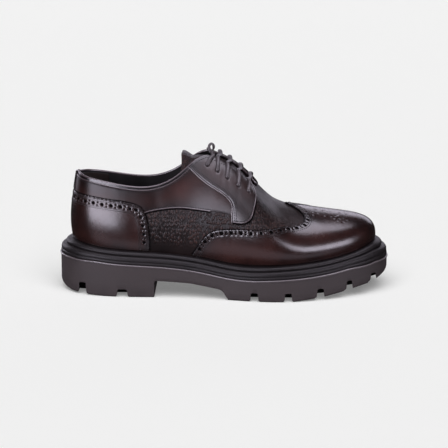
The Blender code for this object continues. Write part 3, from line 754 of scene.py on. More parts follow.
# A panel's tone: at its cut edges, how much more in its middle, and how far in that lies
EDGE_TONE = 0.3
MIDDLE_TONE = 0.25
TONE_REACH = 11 * MM


def leather_panel(
    name, runs, materials, high=OVERLAY_HIGH, spacing=1.7 * MM, holes=(), soft=0.5 * MM, tones=(), pit=0.25
):
    """A panel of leather. runs go round its outline with the leather on their left: each is a line and
    whether its edge is cut, and so rounded. holes are punched: station, height and radius. Their floor
    lies at a share of the panel's height, pit."""
    outline = np.vstack([run[:-1] for run, _ in runs])
    flat = outline * TO_METRIC
    cut = np.vstack([spread(run, CUT_STEP) for run, rounded in runs if rounded]) * TO_METRIC
    inset = np.vstack([offset(spread(run, INSET_STEP), INSET) for run, rounded in runs if rounded])
    inset = inset * TO_METRIC
    low_corner, high_corner = flat.min(0), flat.max(0)
    across = np.arange(low_corner[0], high_corner[0], spacing)
    up = np.arange(low_corner[1], high_corner[1], spacing * 0.866)
    grid = np.array([(x + (j % 2) * spacing / 2, y) for j, y in enumerate(up) for x in across])
    grid = grid[within(grid, flat)]
    grid = grid[nearest(grid, flat) > GRID_FROM_OUTLINE]
    grid = grid[nearest(grid, inset) > GRID_FROM_INSET]
    inset = inset[within(inset, flat)]
    inset = inset[nearest(inset, flat) > INSET_FROM_OUTLINE]
    centres = np.array([(u, t) for u, t, _ in holes]).reshape(-1, 2) * TO_METRIC
    turn = np.linspace(0, 2 * np.pi, HOLE_SIDES, endpoint=False)
    circle = np.stack([np.cos(turn), np.sin(turn)], -1)
    rings = []
    for (_, _, radius), centre in zip(holes, centres):
        rings.append(centre + circle * radius)
        collar = centre + circle * (radius + HOLE_LIP)
        clear = radius + HOLE_CLEAR
        grid = grid[np.linalg.norm(grid - centre, axis=1) > clear]
        inset = inset[np.linalg.norm(inset - centre, axis=1) > clear]
        grid = np.vstack([grid, collar[within(collar, flat)]])
    points = [Vector(p) for p in np.vstack([flat, *rings, inset, grid])]
    edges = [(i, (i + 1) % len(flat)) for i in range(len(flat))]
    start = len(flat)
    for ring in rings:
        edges += [(start + k, start + (k + 1) % len(ring)) for k in range(len(ring))]
        start += len(ring)
    made, _, faces, *_ = delaunay_2d_cdt(points, edges, [], 0, 1e-7)
    made = np.array([tuple(p) for p in made])
    faces = np.array([f for f in faces if len(f) == 3])
    area = [flat_area(made[f]) for f in faces]
    faces = faces[np.array(area) > 1e-12]
    faces = faces[within(made[faces].mean(1), flat)]
    middle = made[faces].mean(1)
    punched = np.zeros(len(faces), bool)
    for (_, _, radius), centre in zip(holes, centres):
        punched |= np.linalg.norm(middle - centre, axis=1) < radius * 0.97
    edge_gap = nearest(made, cut)
    drop = EDGE_DROP * np.clip(1 - edge_gap / soft, 0, 1) ** 2
    hole_gap = np.full(len(made), 1.0)
    for (_, _, radius), centre in zip(holes, centres):
        hole_gap = np.minimum(hole_gap, np.linalg.norm(made - centre, axis=1) - radius)
    drop = drop + HOLE_DROP * np.clip(1 - hole_gap / HOLE_LIP, 0, 1)
    places = made / TO_METRIC
    u, t = places[:, 0], places[:, 1]
    top = place(u, t, high - drop)
    floor = place(u, t, pit * high)
    base = place(u, t)
    count = len(made)
    key = {}
    same = np.array([key.setdefault(tuple(p), i) for i, p in enumerate(np.round(top, 6))])
    faces = same[faces]
    shown, sunk = faces[~punched], faces[punched]
    solid = [tuple(f) for f in shown] + [tuple(f + count) for f in sunk]
    solid += [tuple(f[::-1] + 2 * count) for f in faces]
    # The last material dyes the cut walls and paints the holes' floors near-black, painted shade in the
    # holes
    wall = len(materials) - 1
    kinds = [0] * len(shown) + [wall] * len(sunk) + [0] * len(faces)
    for group, level, kind in ((sunk, 1, wall), (faces, 2, wall)):
        directed = {(int(f[k]), int(f[(k + 1) % 3])) for f in group for k in range(3)}
        for a, b in sorted(directed):
            if (b, a) not in directed:
                solid.append((b, a, level * count + a, level * count + b))
                kinds.append(kind)
    away_from_edge = np.clip(edge_gap / TONE_REACH, 0, 1) ** 0.7
    tone = np.tile(EDGE_TONE + MIDDLE_TONE * away_from_edge + tone_patches(u, t, tones), 3)
    return mesh_object(name, np.vstack([top, floor, base]), solid, materials, kinds, sharp=50, tone=tone)


def tone_patches(u, t, tones):
    """Soft patches of a warmer or darker tone: station, height, their reach in each, and amount."""
    u = np.abs(np.where(u > 1, u - 2, u))
    total = np.zeros(len(u))
    for station, height, wide, tall, amount in tones:
        total += amount * np.exp(-(((u - station) / wide) ** 2) - ((t - height) / tall) ** 2)
    return total


# Materials


def node(tree, kind, inputs=None, **settings):
    """A shader node with its settings, and its inputs linked or set."""
    made = tree.nodes.new(kind)
    for key, value in settings.items():
        setattr(made, key, value)
    for key, value in (inputs or {}).items():
        if isinstance(value, bpy.types.NodeSocket):
            tree.links.new(value, made.inputs[key])
        else:
            made.inputs[key].default_value = value
    return made


def ramp(tree, factor, stops):
    """A colour ramp: each stop is a position and a linear colour."""
    made = node(tree, "ShaderNodeValToRGB", {"Fac": factor})
    made.color_ramp.elements[0].position = stops[0][0]
    made.color_ramp.elements[0].color = (*stops[0][1], 1)
    made.color_ramp.elements[1].position = stops[-1][0]
    made.color_ramp.elements[1].color = (*stops[-1][1], 1)
    for position, colour in stops[1:-1]:
        made.color_ramp.elements.new(position).color = (*colour, 1)
    return made.outputs["Color"]


def start_material(name, specular=0.5, coat=0.0, coat_roughness=0.2, sheen=0.0):
    """A new material, with its tree, its shader and the place on the shoe that it reads."""
    material = bpy.data.materials.new(name)
    material.use_nodes = True
    tree = material.node_tree
    shader = tree.nodes["Principled BSDF"]
    shader.inputs["Specular IOR Level"].default_value = specular
    shader.inputs["Coat Weight"].default_value = coat
    shader.inputs["Coat Roughness"].default_value = coat_roughness
    shader.inputs["Sheen Weight"].default_value = sheen
    place_in = node(tree, "ShaderNodeTexCoord").outputs["Object"]
    return material, tree, shader, place_in


def noise(tree, place_in, scale, detail=3.0, roughness=0.5):
    """A noise from 0 to 1 at places on the shoe."""
    inputs = {"Vector": place_in, "Scale": scale, "Detail": detail, "Roughness": roughness}
    return node(tree, "ShaderNodeTexNoise", inputs).outputs["Fac"]


def spanned(tree, value, low, high):
    """A value from 0.3 to 0.7 spread between low and high."""
    inputs = {"Value": value, "From Min": 0.3, "From Max": 0.7, "To Min": low, "To Max": high}
    return node(tree, "ShaderNodeMapRange", inputs).outputs["Result"]


def bump(tree, shader, layers):
    """Bumps one over another: each is a height, a strength and a depth in metres."""
    normal = None
    for height, strength, depth in layers:
        inputs = {"Height": height, "Strength": strength, "Distance": depth}
        if normal is not None:
            inputs["Normal"] = normal
        normal = node(tree, "ShaderNodeBump", inputs).outputs["Normal"]
    tree.links.new(normal, shader.inputs["Normal"])


CALF_TONES = (
    (0.0, (0.0014, 0.0009, 0.0010)),
    (0.35, (0.0038, 0.0015, 0.0014)),
    (0.65, (0.0083, 0.0025, 0.0020)),
)
CALF_WARM = (0.0135, 0.0033, 0.0023)


def smooth_leather(name, roughness=(0.21, 0.29), coat=0.10, warm=CALF_WARM, specular=0.38):
    """Burnished calf: dark at its edges and warmer in its middle, with fine pores."""
    made = start_material(name, specular=specular, coat=coat, coat_roughness=0.22)
    material, tree, shader, place_in = made
    tone = node(tree, "ShaderNodeAttribute", attribute_name="tone").outputs["Fac"]
    cloud = noise(tree, place_in, 38, detail=4, roughness=0.55)
    fine = noise(tree, place_in, 420, detail=3)
    shift = node(
        tree, "ShaderNodeMath", {0: spanned(tree, cloud, -0.20, 0.20), 1: spanned(tree, fine, -0.05, 0.05)}
    )
    total = node(tree, "ShaderNodeMath", {0: tone, 1: shift.outputs[0]}).outputs[0]
    stops = (*CALF_TONES, (1.0, warm))
    tree.links.new(ramp(tree, total, stops), shader.inputs["Base Color"])
    tree.links.new(spanned(tree, cloud, *roughness), shader.inputs["Roughness"])
    pores = node(tree, "ShaderNodeTexVoronoi", {"Vector": place_in, "Scale": 1500.0}).outputs["Distance"]
    soft = noise(tree, place_in, 170, detail=4)
    bump(tree, shader, ((pores, 0.10, 0.00012), (soft, 0.16, 0.0006)))
    return material


GRAIN_TONES = (
    (0.0, (0.0010, 0.0007, 0.0007)),
    (0.45, (0.0052, 0.0027, 0.0024)),
    (1.0, (0.0290, 0.0130, 0.0100)),
)


def grained_leather(name, stretch=(1.0, 1.0, 0.42), scale=600.0, depth=0.0005, strength=0.62):
    """Printed calf, its grain in short lines that run up the shoe. Its tone attribute says how deep the
    grain is."""
    material, tree, shader, place_in = start_material(name, specular=0.13)
    amount = node(tree, "ShaderNodeAttribute", attribute_name="tone").outputs["Fac"]
    inputs = {"Vector": place_in, "Scale": 160.0, "Detail": 2.0}
    wander = node(tree, "ShaderNodeTexNoise", inputs).outputs["Color"]
    bent = node(tree, "ShaderNodeVectorMath", {0: wander, 1: (0.0018, 0.0018, 0.0018)}, operation="MULTIPLY")
    moved = node(tree, "ShaderNodeVectorMath", {0: place_in, 1: bent.outputs["Vector"]}, operation="ADD")
    long = node(tree, "ShaderNodeMapping", {"Vector": moved.outputs["Vector"], "Scale": stretch})
    inputs = {"Vector": long.outputs["Vector"], "Scale": scale, "Smoothness": 0.25, "Randomness": 0.65}
    cells = node(tree, "ShaderNodeTexVoronoi", inputs, feature="SMOOTH_F1").outputs["Distance"]
    inputs = {"Value": cells, "From Min": 0.24, "From Max": 0.60, "To Min": 1.0, "To Max": 0.0}
    ridges = node(tree, "ShaderNodeMapRange", inputs).outputs["Result"]
    grain = node(tree, "ShaderNodeMath", {0: ridges, 1: amount}, operation="MULTIPLY").outputs[0]
    cloud = noise(tree, place_in, 45, detail=4)
    inputs = {0: grain, 1: 0.42, 2: spanned(tree, cloud, 0.10, 0.38)}
    mixed = node(tree, "ShaderNodeMath", inputs, operation="MULTIPLY_ADD").outputs[0]
    tree.links.new(ramp(tree, mixed, GRAIN_TONES), shader.inputs["Base Color"])
    tree.links.new(spanned(tree, cloud, 0.32, 0.42), shader.inputs["Roughness"])
    fine = noise(tree, place_in, 2600, detail=2)
    bump(tree, shader, ((fine, 0.12, 0.00012), (grain, strength, depth)))
    return material


def plain_material(name, low, high, roughness, grain, depth, specular=0.5, coat=0.0, sheen=0.0):
    """A finish whose colour drifts between two, with a fine grain."""
    material, tree, shader, place_in = start_material(name, specular, coat, 0.25, sheen)
    cloud = noise(tree, place_in, 60, detail=5, roughness=0.6)
    tree.links.new(ramp(tree, cloud, ((0.3, low), (0.7, high))), shader.inputs["Base Color"])
    tree.links.new(spanned(tree, cloud, *roughness), shader.inputs["Roughness"])
    fine = noise(tree, place_in, grain, detail=4, roughness=0.6)
    bump(tree, shader, ((fine, 0.35, depth),))
    return material


CALF = smooth_leather("burnished_calf")
CALF_QUARTER = smooth_leather("quarter_calf", roughness=(0.28, 0.36), coat=0.02, specular=0.20)
# The facings' calf has its warmest tone greyer and lighter than the others': a painted sheen where their
# tone is high
CALF_FACING = smooth_leather("facing_calf", roughness=(0.36, 0.46), coat=0.22, warm=(0.0125, 0.0058, 0.0062))
GRAINED = grained_leather("grained_calf")
GRAINED_TONGUE = grained_leather("grained_tongue", stretch=(1.0, 1.0, 0.8), scale=760.0, strength=0.85)
# Near-black: dye on the overlays' cut walls, and painted shade on the holes' floors and in the seam strips
DYED_EDGE_AND_SHADE = plain_material(
    "dyed_edge_and_painted_shade", (0.0005, 0.0004, 0.0005), (0.0014, 0.0010, 0.0011), (0.8, 0.9), 900, 0.0002, specular=0.03
)
LINING = plain_material(
    "black_lining",
    (0.0017, 0.0015, 0.0015),
    (0.0042, 0.0036, 0.0038),
    (0.55, 0.7),
    700,
    0.0002,
    specular=0.25,
)
HEEL_LINING = plain_material(
    "suede_lining",
    (0.0063, 0.0042, 0.0038),
    (0.0118, 0.0080, 0.0072),
    (0.85, 0.95),
    1100,
    0.0003,
    specular=0.05,
    sheen=0.05,
)
OUTSOLE_RUBBER = plain_material(
    "outsole_rubber",
    (0.0122, 0.0088, 0.0086),
    (0.0164, 0.0121, 0.0118),
    (0.62, 0.74),
    850,
    0.00022,
    specular=0.35,
)
# Near-black rubber for the faces inside the notches: painted shade
NOTCH_SHADE_RUBBER = plain_material(
    "recess_rubber",
    (0.0022, 0.0016, 0.0017),
    (0.0036, 0.0027, 0.0028),
    (0.75, 0.85),
    850,
    0.0002,
    specular=0.1,
)
RIM_RUBBER = plain_material(
    "rim_rubber",
    (0.0036, 0.0029, 0.0031),
    (0.0057, 0.0045, 0.0048),
    (0.42, 0.52),
    1300,
    0.0001,
    specular=0.17,
)
WELT_RUBBER = plain_material(
    "welt_rubber",
    (0.0034, 0.0027, 0.0029),
    (0.0053, 0.0042, 0.0044),
    (0.42, 0.52),
    1100,
    0.00012,
    specular=0.18,
)
THREAD = plain_material(
    "thread", (0.0020, 0.0015, 0.0017), (0.0050, 0.0038, 0.0042), (0.50, 0.60), 3000, 0.0001, specular=0.3
)
# Paler than the panels' calf: a painted highlight along the folded edges and the collar's roll
EDGE_CALF_PAINTED_HIGHLIGHT = plain_material(
    "folded_calf_painted_highlight", (0.0170, 0.0112, 0.0122), (0.0290, 0.0195, 0.0212), (0.26, 0.34), 900, 0.0001, coat=0.45
)
CORD = plain_material(
    "waxed_cord", (0.0059, 0.0037, 0.0041), (0.0126, 0.0080, 0.0088), (0.40, 0.55), 2600, 0.0004, coat=0.1
)
# Far paler than the rim's rubber: a painted highlight along the midsole's bead
BEAD_RUBBER_PAINTED_HIGHLIGHT = plain_material(
    "bead_rubber", (0.0380, 0.0320, 0.0335), (0.0500, 0.0420, 0.0440), (0.26, 0.34), 1300, 0.0001, coat=0.3
)
BOARD = plain_material(
    "sock_leather", (0.0038, 0.0031, 0.0031), (0.0076, 0.0059, 0.0059), (0.5, 0.65), 700, 0.0003
)


# The leather


def base_leather():
    """The outer leather and its lining, each a closed shell."""
    half = np.concatenate(
        [
            np.linspace(0, PEAK, 120),
            np.linspace(PEAK, THROAT_END, 60)[1:],
            np.linspace(THROAT_END, 1, 90)[1:],
        ]
    )
    stations = np.concatenate([half, -half[-2:0:-1]])
    rows = 46
    share = np.linspace(0, 1, rows)
    reach_up = edge(stations)
    us, ts = np.meshgrid(stations, share, indexing="ij")
    ts = ts * reach_up[:, None]
    by_foot = smoothstep(0.05, 0.15, ts)
    by_ridge = 1 - 0.75 * smoothstep(0.60, 0.66, np.abs(us)) * smoothstep(0.45, 0.75, ts)
    amount = (by_foot * by_ridge).reshape(-1)
    for name, outer, inner, material, slot in (
        ("vamp_leather", 0.0, -0.5 * WALL, GRAINED, "leather"),
        ("shoe_lining", -0.5 * WALL, -WALL, LINING, "lining"),
    ):
        sheets = [place(us, ts, lift).reshape(-1, 3) for lift in (outer, inner)]
        faces = []
        for i in range(len(us)):
            for j in range(rows - 1):
                a, b = i * rows + j, (i + 1) % len(us) * rows + j
                faces.append((a, b, b + 1, a + 1))
        key = {}
        same = [key.setdefault(tuple(p), i) for i, p in enumerate(np.round(sheets[0], 6))]
        faces = [tuple(same[i] for i in face) for face in faces]
        made = mesh_object(name, *shell(sheets, faces), [material], tone=np.tile(amount, 2))
        finish_piece(made, slot, "upper")


BIG_HOLE = 1.6 * MM
SMALL_HOLE = 0.62 * MM


def hole_row(line, distance, pitch, first=0.5, last=0.5, pair_gap=1.35 * MM):
    """Big holes a pitch apart at a distance inside a line, with pairs of small holes between them."""
    inner = spread(offset(spread(line, 1.0 * MM), distance), pitch)
    holes = []
    for i, (u, t) in enumerate(inner):
        if first <= i <= len(inner) - 1 - last:
            holes.append((u, t, BIG_HOLE))
    middle = (inner[:-1] + inner[1:]) / 2
    for side in (-1, 1):
        for i, (u, t) in enumerate(offset(middle, side * pair_gap)):
            if first - 1 < i < len(middle) - last:
                holes.append((u, t, SMALL_HOLE))
    return holes


# A stitch along its length: a share of it, and how full it is there. Its ends dip into the leather.
STITCH_ENDS = ((-0.5, 0.25), (-0.42, 0.75), (-0.2, 1.0), (0.2, 1.0), (0.42, 0.75), (0.5, 0.25))
STITCH_SIDES = 6
STITCH_DIP = 0.25 * MM


def stitch_row(line, distance, pitch=2.3 * MM, length=1.70 * MM, width=0.32 * MM, lift=OVERLAY_HIGH):
    """A row of stitches at a distance inside a line, sunk a little in the leather."""
    at = spread(offset(spread(line, 1.0 * MM), distance), pitch)
    middle = (at[:-1] + at[1:]) / 2
    ends = place(at[:, 0], at[:, 1], lift)
    points = place(middle[:, 0], middle[:, 1], lift + 0.06 * MM)
    normal = place(middle[:, 0], middle[:, 1], lift + 1 * MM) - points
    normal /= np.linalg.norm(normal, axis=1, keepdims=True)
    along = ends[1:] - ends[:-1]
    along /= np.linalg.norm(along, axis=1, keepdims=True)
    aside = np.cross(normal, along)
    rings = []
    for share, grow in STITCH_ENDS:
        sunk = -STITCH_DIP * (1 - grow)
        for a in np.linspace(0, 2 * np.pi, STITCH_SIDES, endpoint=False):
            rings.append(
                points
                + along * share * length
                + normal * (math.sin(a) * width * grow + sunk)
                + aside * math.cos(a) * width * grow
            )
    rings = np.stack(rings, 1)
    faces = grid_faces(len(STITCH_ENDS), STITCH_SIDES, closed=True)
    total = len(STITCH_ENDS) * STITCH_SIDES
    faces += [tuple(range(STITCH_SIDES))[::-1], tuple(range(total - STITCH_SIDES, total))]
    return [(ring, faces) for ring in rings]


COUNTER_EDGE = curve_through(COUNTER_SIDE)
COUNTER_LINE = both_sides(COUNTER_EDGE)
WING_EDGE = curve_through(WING_SIDE)
# The wing's edge on both sides, each with the leather on its left
WING_LINES = (WING_EDGE[::-1], np.array([(2 - u, t) for u, t in WING_EDGE]))
WING_TONES = (
    # station height wide tall amount
    (0.520, 0.130, 0.070, 0.10, 0.42),
    (0.600, 0.110, 0.070, 0.09, 0.30),
    (0.800, 0.420, 0.080, 0.12, 0.16),
    (0.900, 0.450, 0.080, 0.20, -0.12),
    (0.980, 0.400, 0.060, 0.25, -0.12),
    (0.850, 0.850, 0.120, 0.15, -0.10),
    (0.700, 0.020, 0.400, 0.05, -0.15),
)
COUNTER_TONES = (
    (0.030, 0.330, 0.050, 0.22, -0.15),
    (0.235, 0.280, 0.025, 0.25, 0.22),
    (0.150, 0.100, 0.080, 0.08, 0.15),
    (0.130, 0.020, 0.200, 0.05, -0.15),
)
QUARTER_TONES = (
    (0.400, 0.700, 0.045, 0.09, 0.26),
    (0.350, 0.640, 0.050, 0.10, 0.16),
    (0.440, 0.560, 0.040, 0.12, 0.10),
    (0.300, 0.560, 0.040, 0.10, 0.05),
    (0.120, 0.700, 0.080, 0.08, -0.10),
)
QUARTER_EDGE = (
    # station height
    (0.240, 0.440),
    (0.278, 0.483),
    (0.326, 0.503),
    (0.368, 0.497),
    (0.410, 0.470),
    (0.462, 0.430),
    (0.520, 0.400),
    (0.560, 0.385),
)
QUARTER_HIGH = 0.7 * MM
# How far in the fall of a folded edge reaches
FOLD_SOFT = 0.9 * MM
# The floor of a hole through a panel that lies on the quarter, as a share of the panel's height
PIT_ON_QUARTER = (QUARTER_HIGH + 0.08 * MM) / OVERLAY_HIGH
# The collar: the depth of its smooth band, how high the band's face lies, and its rolled edge's radius
BAND_DEPTH = 2.6 * MM
BAND_HIGH = 0.32 * MM
# The band is coloured at the darkest tone: painted shade in the low band between the roll and the quarters'
# fold
BAND_SHADE_TONE = 0.02
ROLL = 1.15 * MM
# How far an underlying piece reaches into the one beneath it
BEDDED = -0.1 * MM

# The counter's brogueing: its teeth, and how far inside its edge the holes run above and at its side
COUNTER_TOOTH = (1.75 * MM, 1.0 * MM)
COUNTER_HOLES_TOP = 5.8 * MM
COUNTER_HOLES_SIDE = 5.2 * MM
COUNTER_PITCH = 8.8 * MM
COUNTER_STITCHES = (1.5 * MM, 3.0 * MM, 8.4 * MM, 9.9 * MM)
# The wing's: its holes, their pitch, the gap between two small ones, and its stitches
WING_HOLES = 2.9 * MM
WING_PITCH = 9.4 * MM
WING_PAIR = 0.95 * MM
WING_STITCHES = (1.1 * MM, 4.7 * MM, 6.6 * MM)


def counter_piece():
    """The counter, gimped and punched round the heel."""
    end = COUNTER_SIDE[-1][0]
    foot = curve_through(((-end, PANEL_FOOT), (0.0, PANEL_FOOT), (end, PANEL_FOOT)), 60)
    teeth = gimped(COUNTER_LINE[::-1], *COUNTER_TOOTH)
    runs = ((foot, False), (teeth, True))
    top = both_sides(curve_through(COUNTER_SIDE[:6]))
    holes = hole_row(top[::-1], COUNTER_HOLES_TOP, COUNTER_PITCH)
    down = curve_through(COUNTER_SIDE[5:])
    holes += hole_row(down[::-1], COUNTER_HOLES_SIDE, COUNTER_PITCH, 1, 0)
    holes += hole_row(down * [-1, 1], COUNTER_HOLES_SIDE, COUNTER_PITCH, 0, 1)
    made = leather_panel(
        "counter_leather", runs, [CALF, DYED_EDGE_AND_SHADE], holes=holes, tones=COUNTER_TONES, pit=PIT_ON_QUARTER
    )
    finish_piece(made, "overlay_leather", "counter")


def wing_piece():
    """The wing cap, with its holes and the pattern on its toe."""
    peak = WING_SIDE[-1][0]
    edge_line = gimped(WING_EDGE[::-1])[::-1]
    ridge = [(u, 1.0) for u in np.linspace(peak, 1.0, 90)]
    far_ridge = [(2 - u, t) for u, t in ridge[::-1]]
    far_edge = np.array([(2 - u, t) for u, t in edge_line[::-1]])
    foot = [(u, PANEL_FOOT) for u in np.linspace(WING_SIDE[0][0], 2 - WING_SIDE[0][0], 260)]
    runs = (
        (np.array(foot), False),
        (far_edge[::-1], True),
        (np.array(far_ridge[::-1]), False),
        (np.array(ridge[::-1]), False),
        (edge_line[::-1], True),
    )
    holes = []
    for line in WING_LINES:
        holes += hole_row(line, WING_HOLES, WING_PITCH, 1, 1, WING_PAIR)
    holes += medallion()
    made = leather_panel("wing_leather", runs, [CALF, DYED_EDGE_AND_SHADE], holes=holes, tones=WING_TONES)
    finish_piece(made, "overlay_leather", "wing_cap")


MEDALLION = (
    # station height radius
    (0.836, 0.800, 1.15),
    (0.883, 0.600, 1.15),
    (0.872, 0.900, 1.15),
    (0.930, 0.800, 1.15),
    (0.855, 0.700, 0.5),
    (0.869, 0.620, 0.5),
    (0.868, 0.560, 0.5),
    (0.882, 0.520, 0.5),
    (0.898, 0.550, 0.5),
    (0.901, 0.620, 0.5),
    (0.890, 0.680, 0.5),
    (0.874, 0.680, 0.5),
    (0.905, 0.720, 0.5),
    (0.916, 0.760, 0.5),
    (0.846, 0.760, 0.5),
    (0.826, 0.860, 0.5),
    (0.845, 0.860, 0.5),
    (0.858, 0.830, 0.5),
    (0.886, 0.860, 0.5),
    (0.900, 0.900, 0.5),
    (0.915, 0.860, 0.5),
    (0.945, 0.850, 0.5),
    (0.950, 0.760, 0.5),
    (0.935, 0.720, 0.5),
    (0.962, 0.820, 0.5),
    (0.812, 0.780, 0.5),
    (0.820, 0.720, 0.5),
)


def medallion():
    """The punched holes on the toe, the same on both sides of its ridge."""
    holes = []
    for station, height, radius in MEDALLION:
        holes += [(station, height, radius * MM), (2 - station, height, radius * MM)]
    return holes


# The quarter's front edge, under the facing: station and height
QUARTER_FRONT = (
    (0.560, 0.385),
    (0.588, 0.480),
    (0.608, 0.600),
    (0.628, 0.730),
    (0.636, 0.850),
)


def quarters():
    """The quarters' leather, from its lower edge up to the band at the collar."""
    low = both_sides(np.vstack([[(0.0, QUARTER_EDGE[0][1])], curve_through(QUARTER_EDGE)]))
    front = curve_through(QUARTER_FRONT)
    top = offset(edge_line(QUARTER_FRONT[-1][0], 0.0, 220), BAND_DEPTH)
    keep = top[:, 0] > 0
    top = np.vstack([top[keep], [(0.0, top[~keep][0, 1] if (~keep).any() else top[-1, 1])]])
    front = np.vstack([front[:-1], top[:1]])
    far_front = front[::-1] * [-1, 1]
    far_top = top[::-1] * [-1, 1]
    upper_edge = np.vstack([top, far_top[1:]])
    runs = ((low, True), (front, False), (upper_edge, True), (far_front, False))
    made = leather_panel(
        "quarter_leather", runs, [CALF_QUARTER], high=QUARTER_HIGH, tones=QUARTER_TONES, soft=FOLD_SOFT
    )
    finish_piece(made, "leather", "upper")


def collar_band():
    """The smooth leather between the rolled edge and the quarters' folded edge."""
    upper = edge_line(0.66, -0.66, 420)
    lower = offset(upper, BAND_DEPTH + 1.0 * MM)
    upper = upper - [0, 0.002]
    corners = ((upper, BAND_HIGH), (lower, BAND_HIGH), (lower, BEDDED), (upper, BEDDED))
    vertices, faces = bar([place(*line.T, lift) for line, lift in corners])
    # The darkest tone paints shade over the whole band
    tone = np.full(len(vertices), BAND_SHADE_TONE)
    made = mesh_object("collar_band", vertices, faces, [CALF], tone=tone)
    finish_piece(made, "leather", "upper")


def collar_roll():
    """The rolled edge round the collar and the throat, in paler calf that paints its highlight."""
    stations = np.concatenate([np.linspace(0.676, 0, 260), -np.linspace(0, 0.676, 260)[1:]])
    top = edge(stations)
    middle = place(stations, top, -0.42 * WALL)
    shape = tube(middle, ROLL, place(stations, top) - middle, 12)
    shaped_piece("collar_roll", shape, EDGE_CALF_PAINTED_HIGHLIGHT, "leather", "upper")


STRIP_HIGH = OVERLAY_HIGH + 0.3 * MM
STRIP_TONES = ((0, 0.7, 0.05, 0.3, -0.15),)


def strip_piece():
    """The narrow strip above the counter at the back seam."""
    side = curve_through(STRIP_SIDE[1:], 10)
    left = side[::-1]
    far = left[::-1] * [-1, 1]
    foot = np.vstack([far[-1:], left[:1]])
    top = np.vstack([left[-1:], far[:1]])
    runs = ((spread(foot, 1 * MM), True), (left, True), (spread(top, 1 * MM), True), (far, True))
    made = leather_panel(
        "heel_strip_leather", runs, [CALF], high=STRIP_HIGH, spacing=1.2 * MM, tones=STRIP_TONES
    )
    finish_piece(made, "overlay_leather", "heel_strip")


EYELET = 1.5 * MM
EYELETS = (
    # station, how far below the throat's edge
    (0.486, 0.090),
    (0.512, 0.135),
    (0.536, 0.150),
    (0.566, 0.168),
    (0.598, 0.165),
)
# On the facings a higher tone is greyer and lighter, so the raised tone in their middle is a painted sheen
FACING_TONES = (
    (0.520, 0.940, 0.060, 0.05, -0.25),
    (0.600, 0.930, 0.050, 0.07, -0.25),
    (0.500, 0.700, 0.060, 0.12, 0.10),
    (0.560, 0.520, 0.040, 0.10, -0.12),
)


def facing_runs(sign):
    """A facing's outline: round its front, foot and rear, and back along the throat's edge."""
    rows = smooth_outline(FACING, 8)
    end = max(i for i, p in enumerate(rows) if abs(p[0] - FACING[-1][0]) < 1e-9 and p[1] > 0.8)
    around = np.array(rows[: end + 1])
    throat = offset(edge_line(FACING[-1][0], FACING[0][0], 60), 1.0 * MM)
    around = np.vstack([throat[-1:], around[1:-1], throat[:1]])
    if sign < 0:
        return ((mirrored_run(around), True), (mirrored_run(throat), True))
    return ((around, True), (throat, True))


def facing_piece(name, node_name, sign):
    """One facing with its eyelets, on the side that the sign gives."""
    holes = [(sign * u, float(edge(u)) - below, EYELET) for u, below in EYELETS]
    made = leather_panel(
        name,
        facing_runs(sign),
        [CALF_FACING, DYED_EDGE_AND_SHADE],
        holes=holes,
        soft=FOLD_SOFT,
        spacing=1.5 * MM,
        tones=FACING_TONES,
        pit=PIT_ON_QUARTER,
    )
    finish_piece(made, "overlay_leather", node_name)


def quarter_lines(first, last, clear):
    """The quarters' lower edge on both sides, between two rows of its table and clear of the counter."""
    low = both_sides(curve_through(QUARTER_EDGE[first:last]))
    return [low[low[:, 0] > clear], low[low[:, 0] < -clear]]


def all_stitches():
    """The rows of thread on all the panels."""
    parts = []
    for distance in COUNTER_STITCHES:
        parts += stitch_row(COUNTER_LINE[::-1], distance, 1.6 * MM, 1.15 * MM, 0.30 * MM)
    for line in WING_LINES:
        for distance in WING_STITCHES:
            parts += stitch_row(line, distance)
    rear = curve_through(FACING[:7])
    strip = curve_through(STRIP_SIDE[1:5], 10)[::-1]
    for sign in (1, -1):
        around, throat = (run for run, _ in facing_runs(sign))
        parts += stitch_row(around, 1.5 * MM)
        parts += stitch_row(throat, 2.0 * MM)
        parts += stitch_row(rear if sign > 0 else mirrored_run(rear), 3.2 * MM)
    for line in quarter_lines(1, 7, 0.25):
        parts += stitch_row(line, 1.6 * MM, lift=QUARTER_HIGH)
    parts += stitch_row(edge_line(0.44, -0.44, 400), BAND_DEPTH + 1.4 * MM, lift=QUARTER_HIGH)
    for sign in (1, -1):
        parts += stitch_row(strip if sign > 0 else mirrored_run(strip), 1.2 * MM, lift=STRIP_HIGH)
    shaped_piece("stitches", joined(parts), THREAD, "overlay_leather", sharp=80)


# The step between the points of a folded edge or a line of painted seam shade
EDGE_STEP = 0.9 * MM


def bead(line, distance, lift, radius):
    """A thin round edge at a distance inside a line over the leather."""
    line = offset(spread(line, EDGE_STEP), distance)
    at = place(line[:, 0], line[:, 1], lift)
    over = place(line[:, 0], line[:, 1], lift + 1 * MM) - at
    return tube(at, radius, over, 8)


def ribbon(line, inner, outer, low, high):
    """A flat strip beside a line over the leather, from one distance outside it to another."""
    line = spread(line, EDGE_STEP)
    corners = ((inner, low), (inner, high), (outer, high), (outer, low))
    return bar([place(*offset(line, -side).T, lift) for side, lift in corners])


# The row of the facing's table where its foot meets its rear line
FACING_REAR = 6
BEAD = 0.6 * MM


def facing_lines(sign):
    """A facing's rear line and its front line, each with the leather on its left."""
    around, _ = (run for run, _ in facing_runs(sign))
    sharpest = int(np.argmin(np.abs(around - np.array(FACING[FACING_REAR][:2]) * [sign, 1]).sum(1)))
    parts = [around[: sharpest + 1], around[sharpest:]]
    return parts if sign > 0 else parts[::-1]


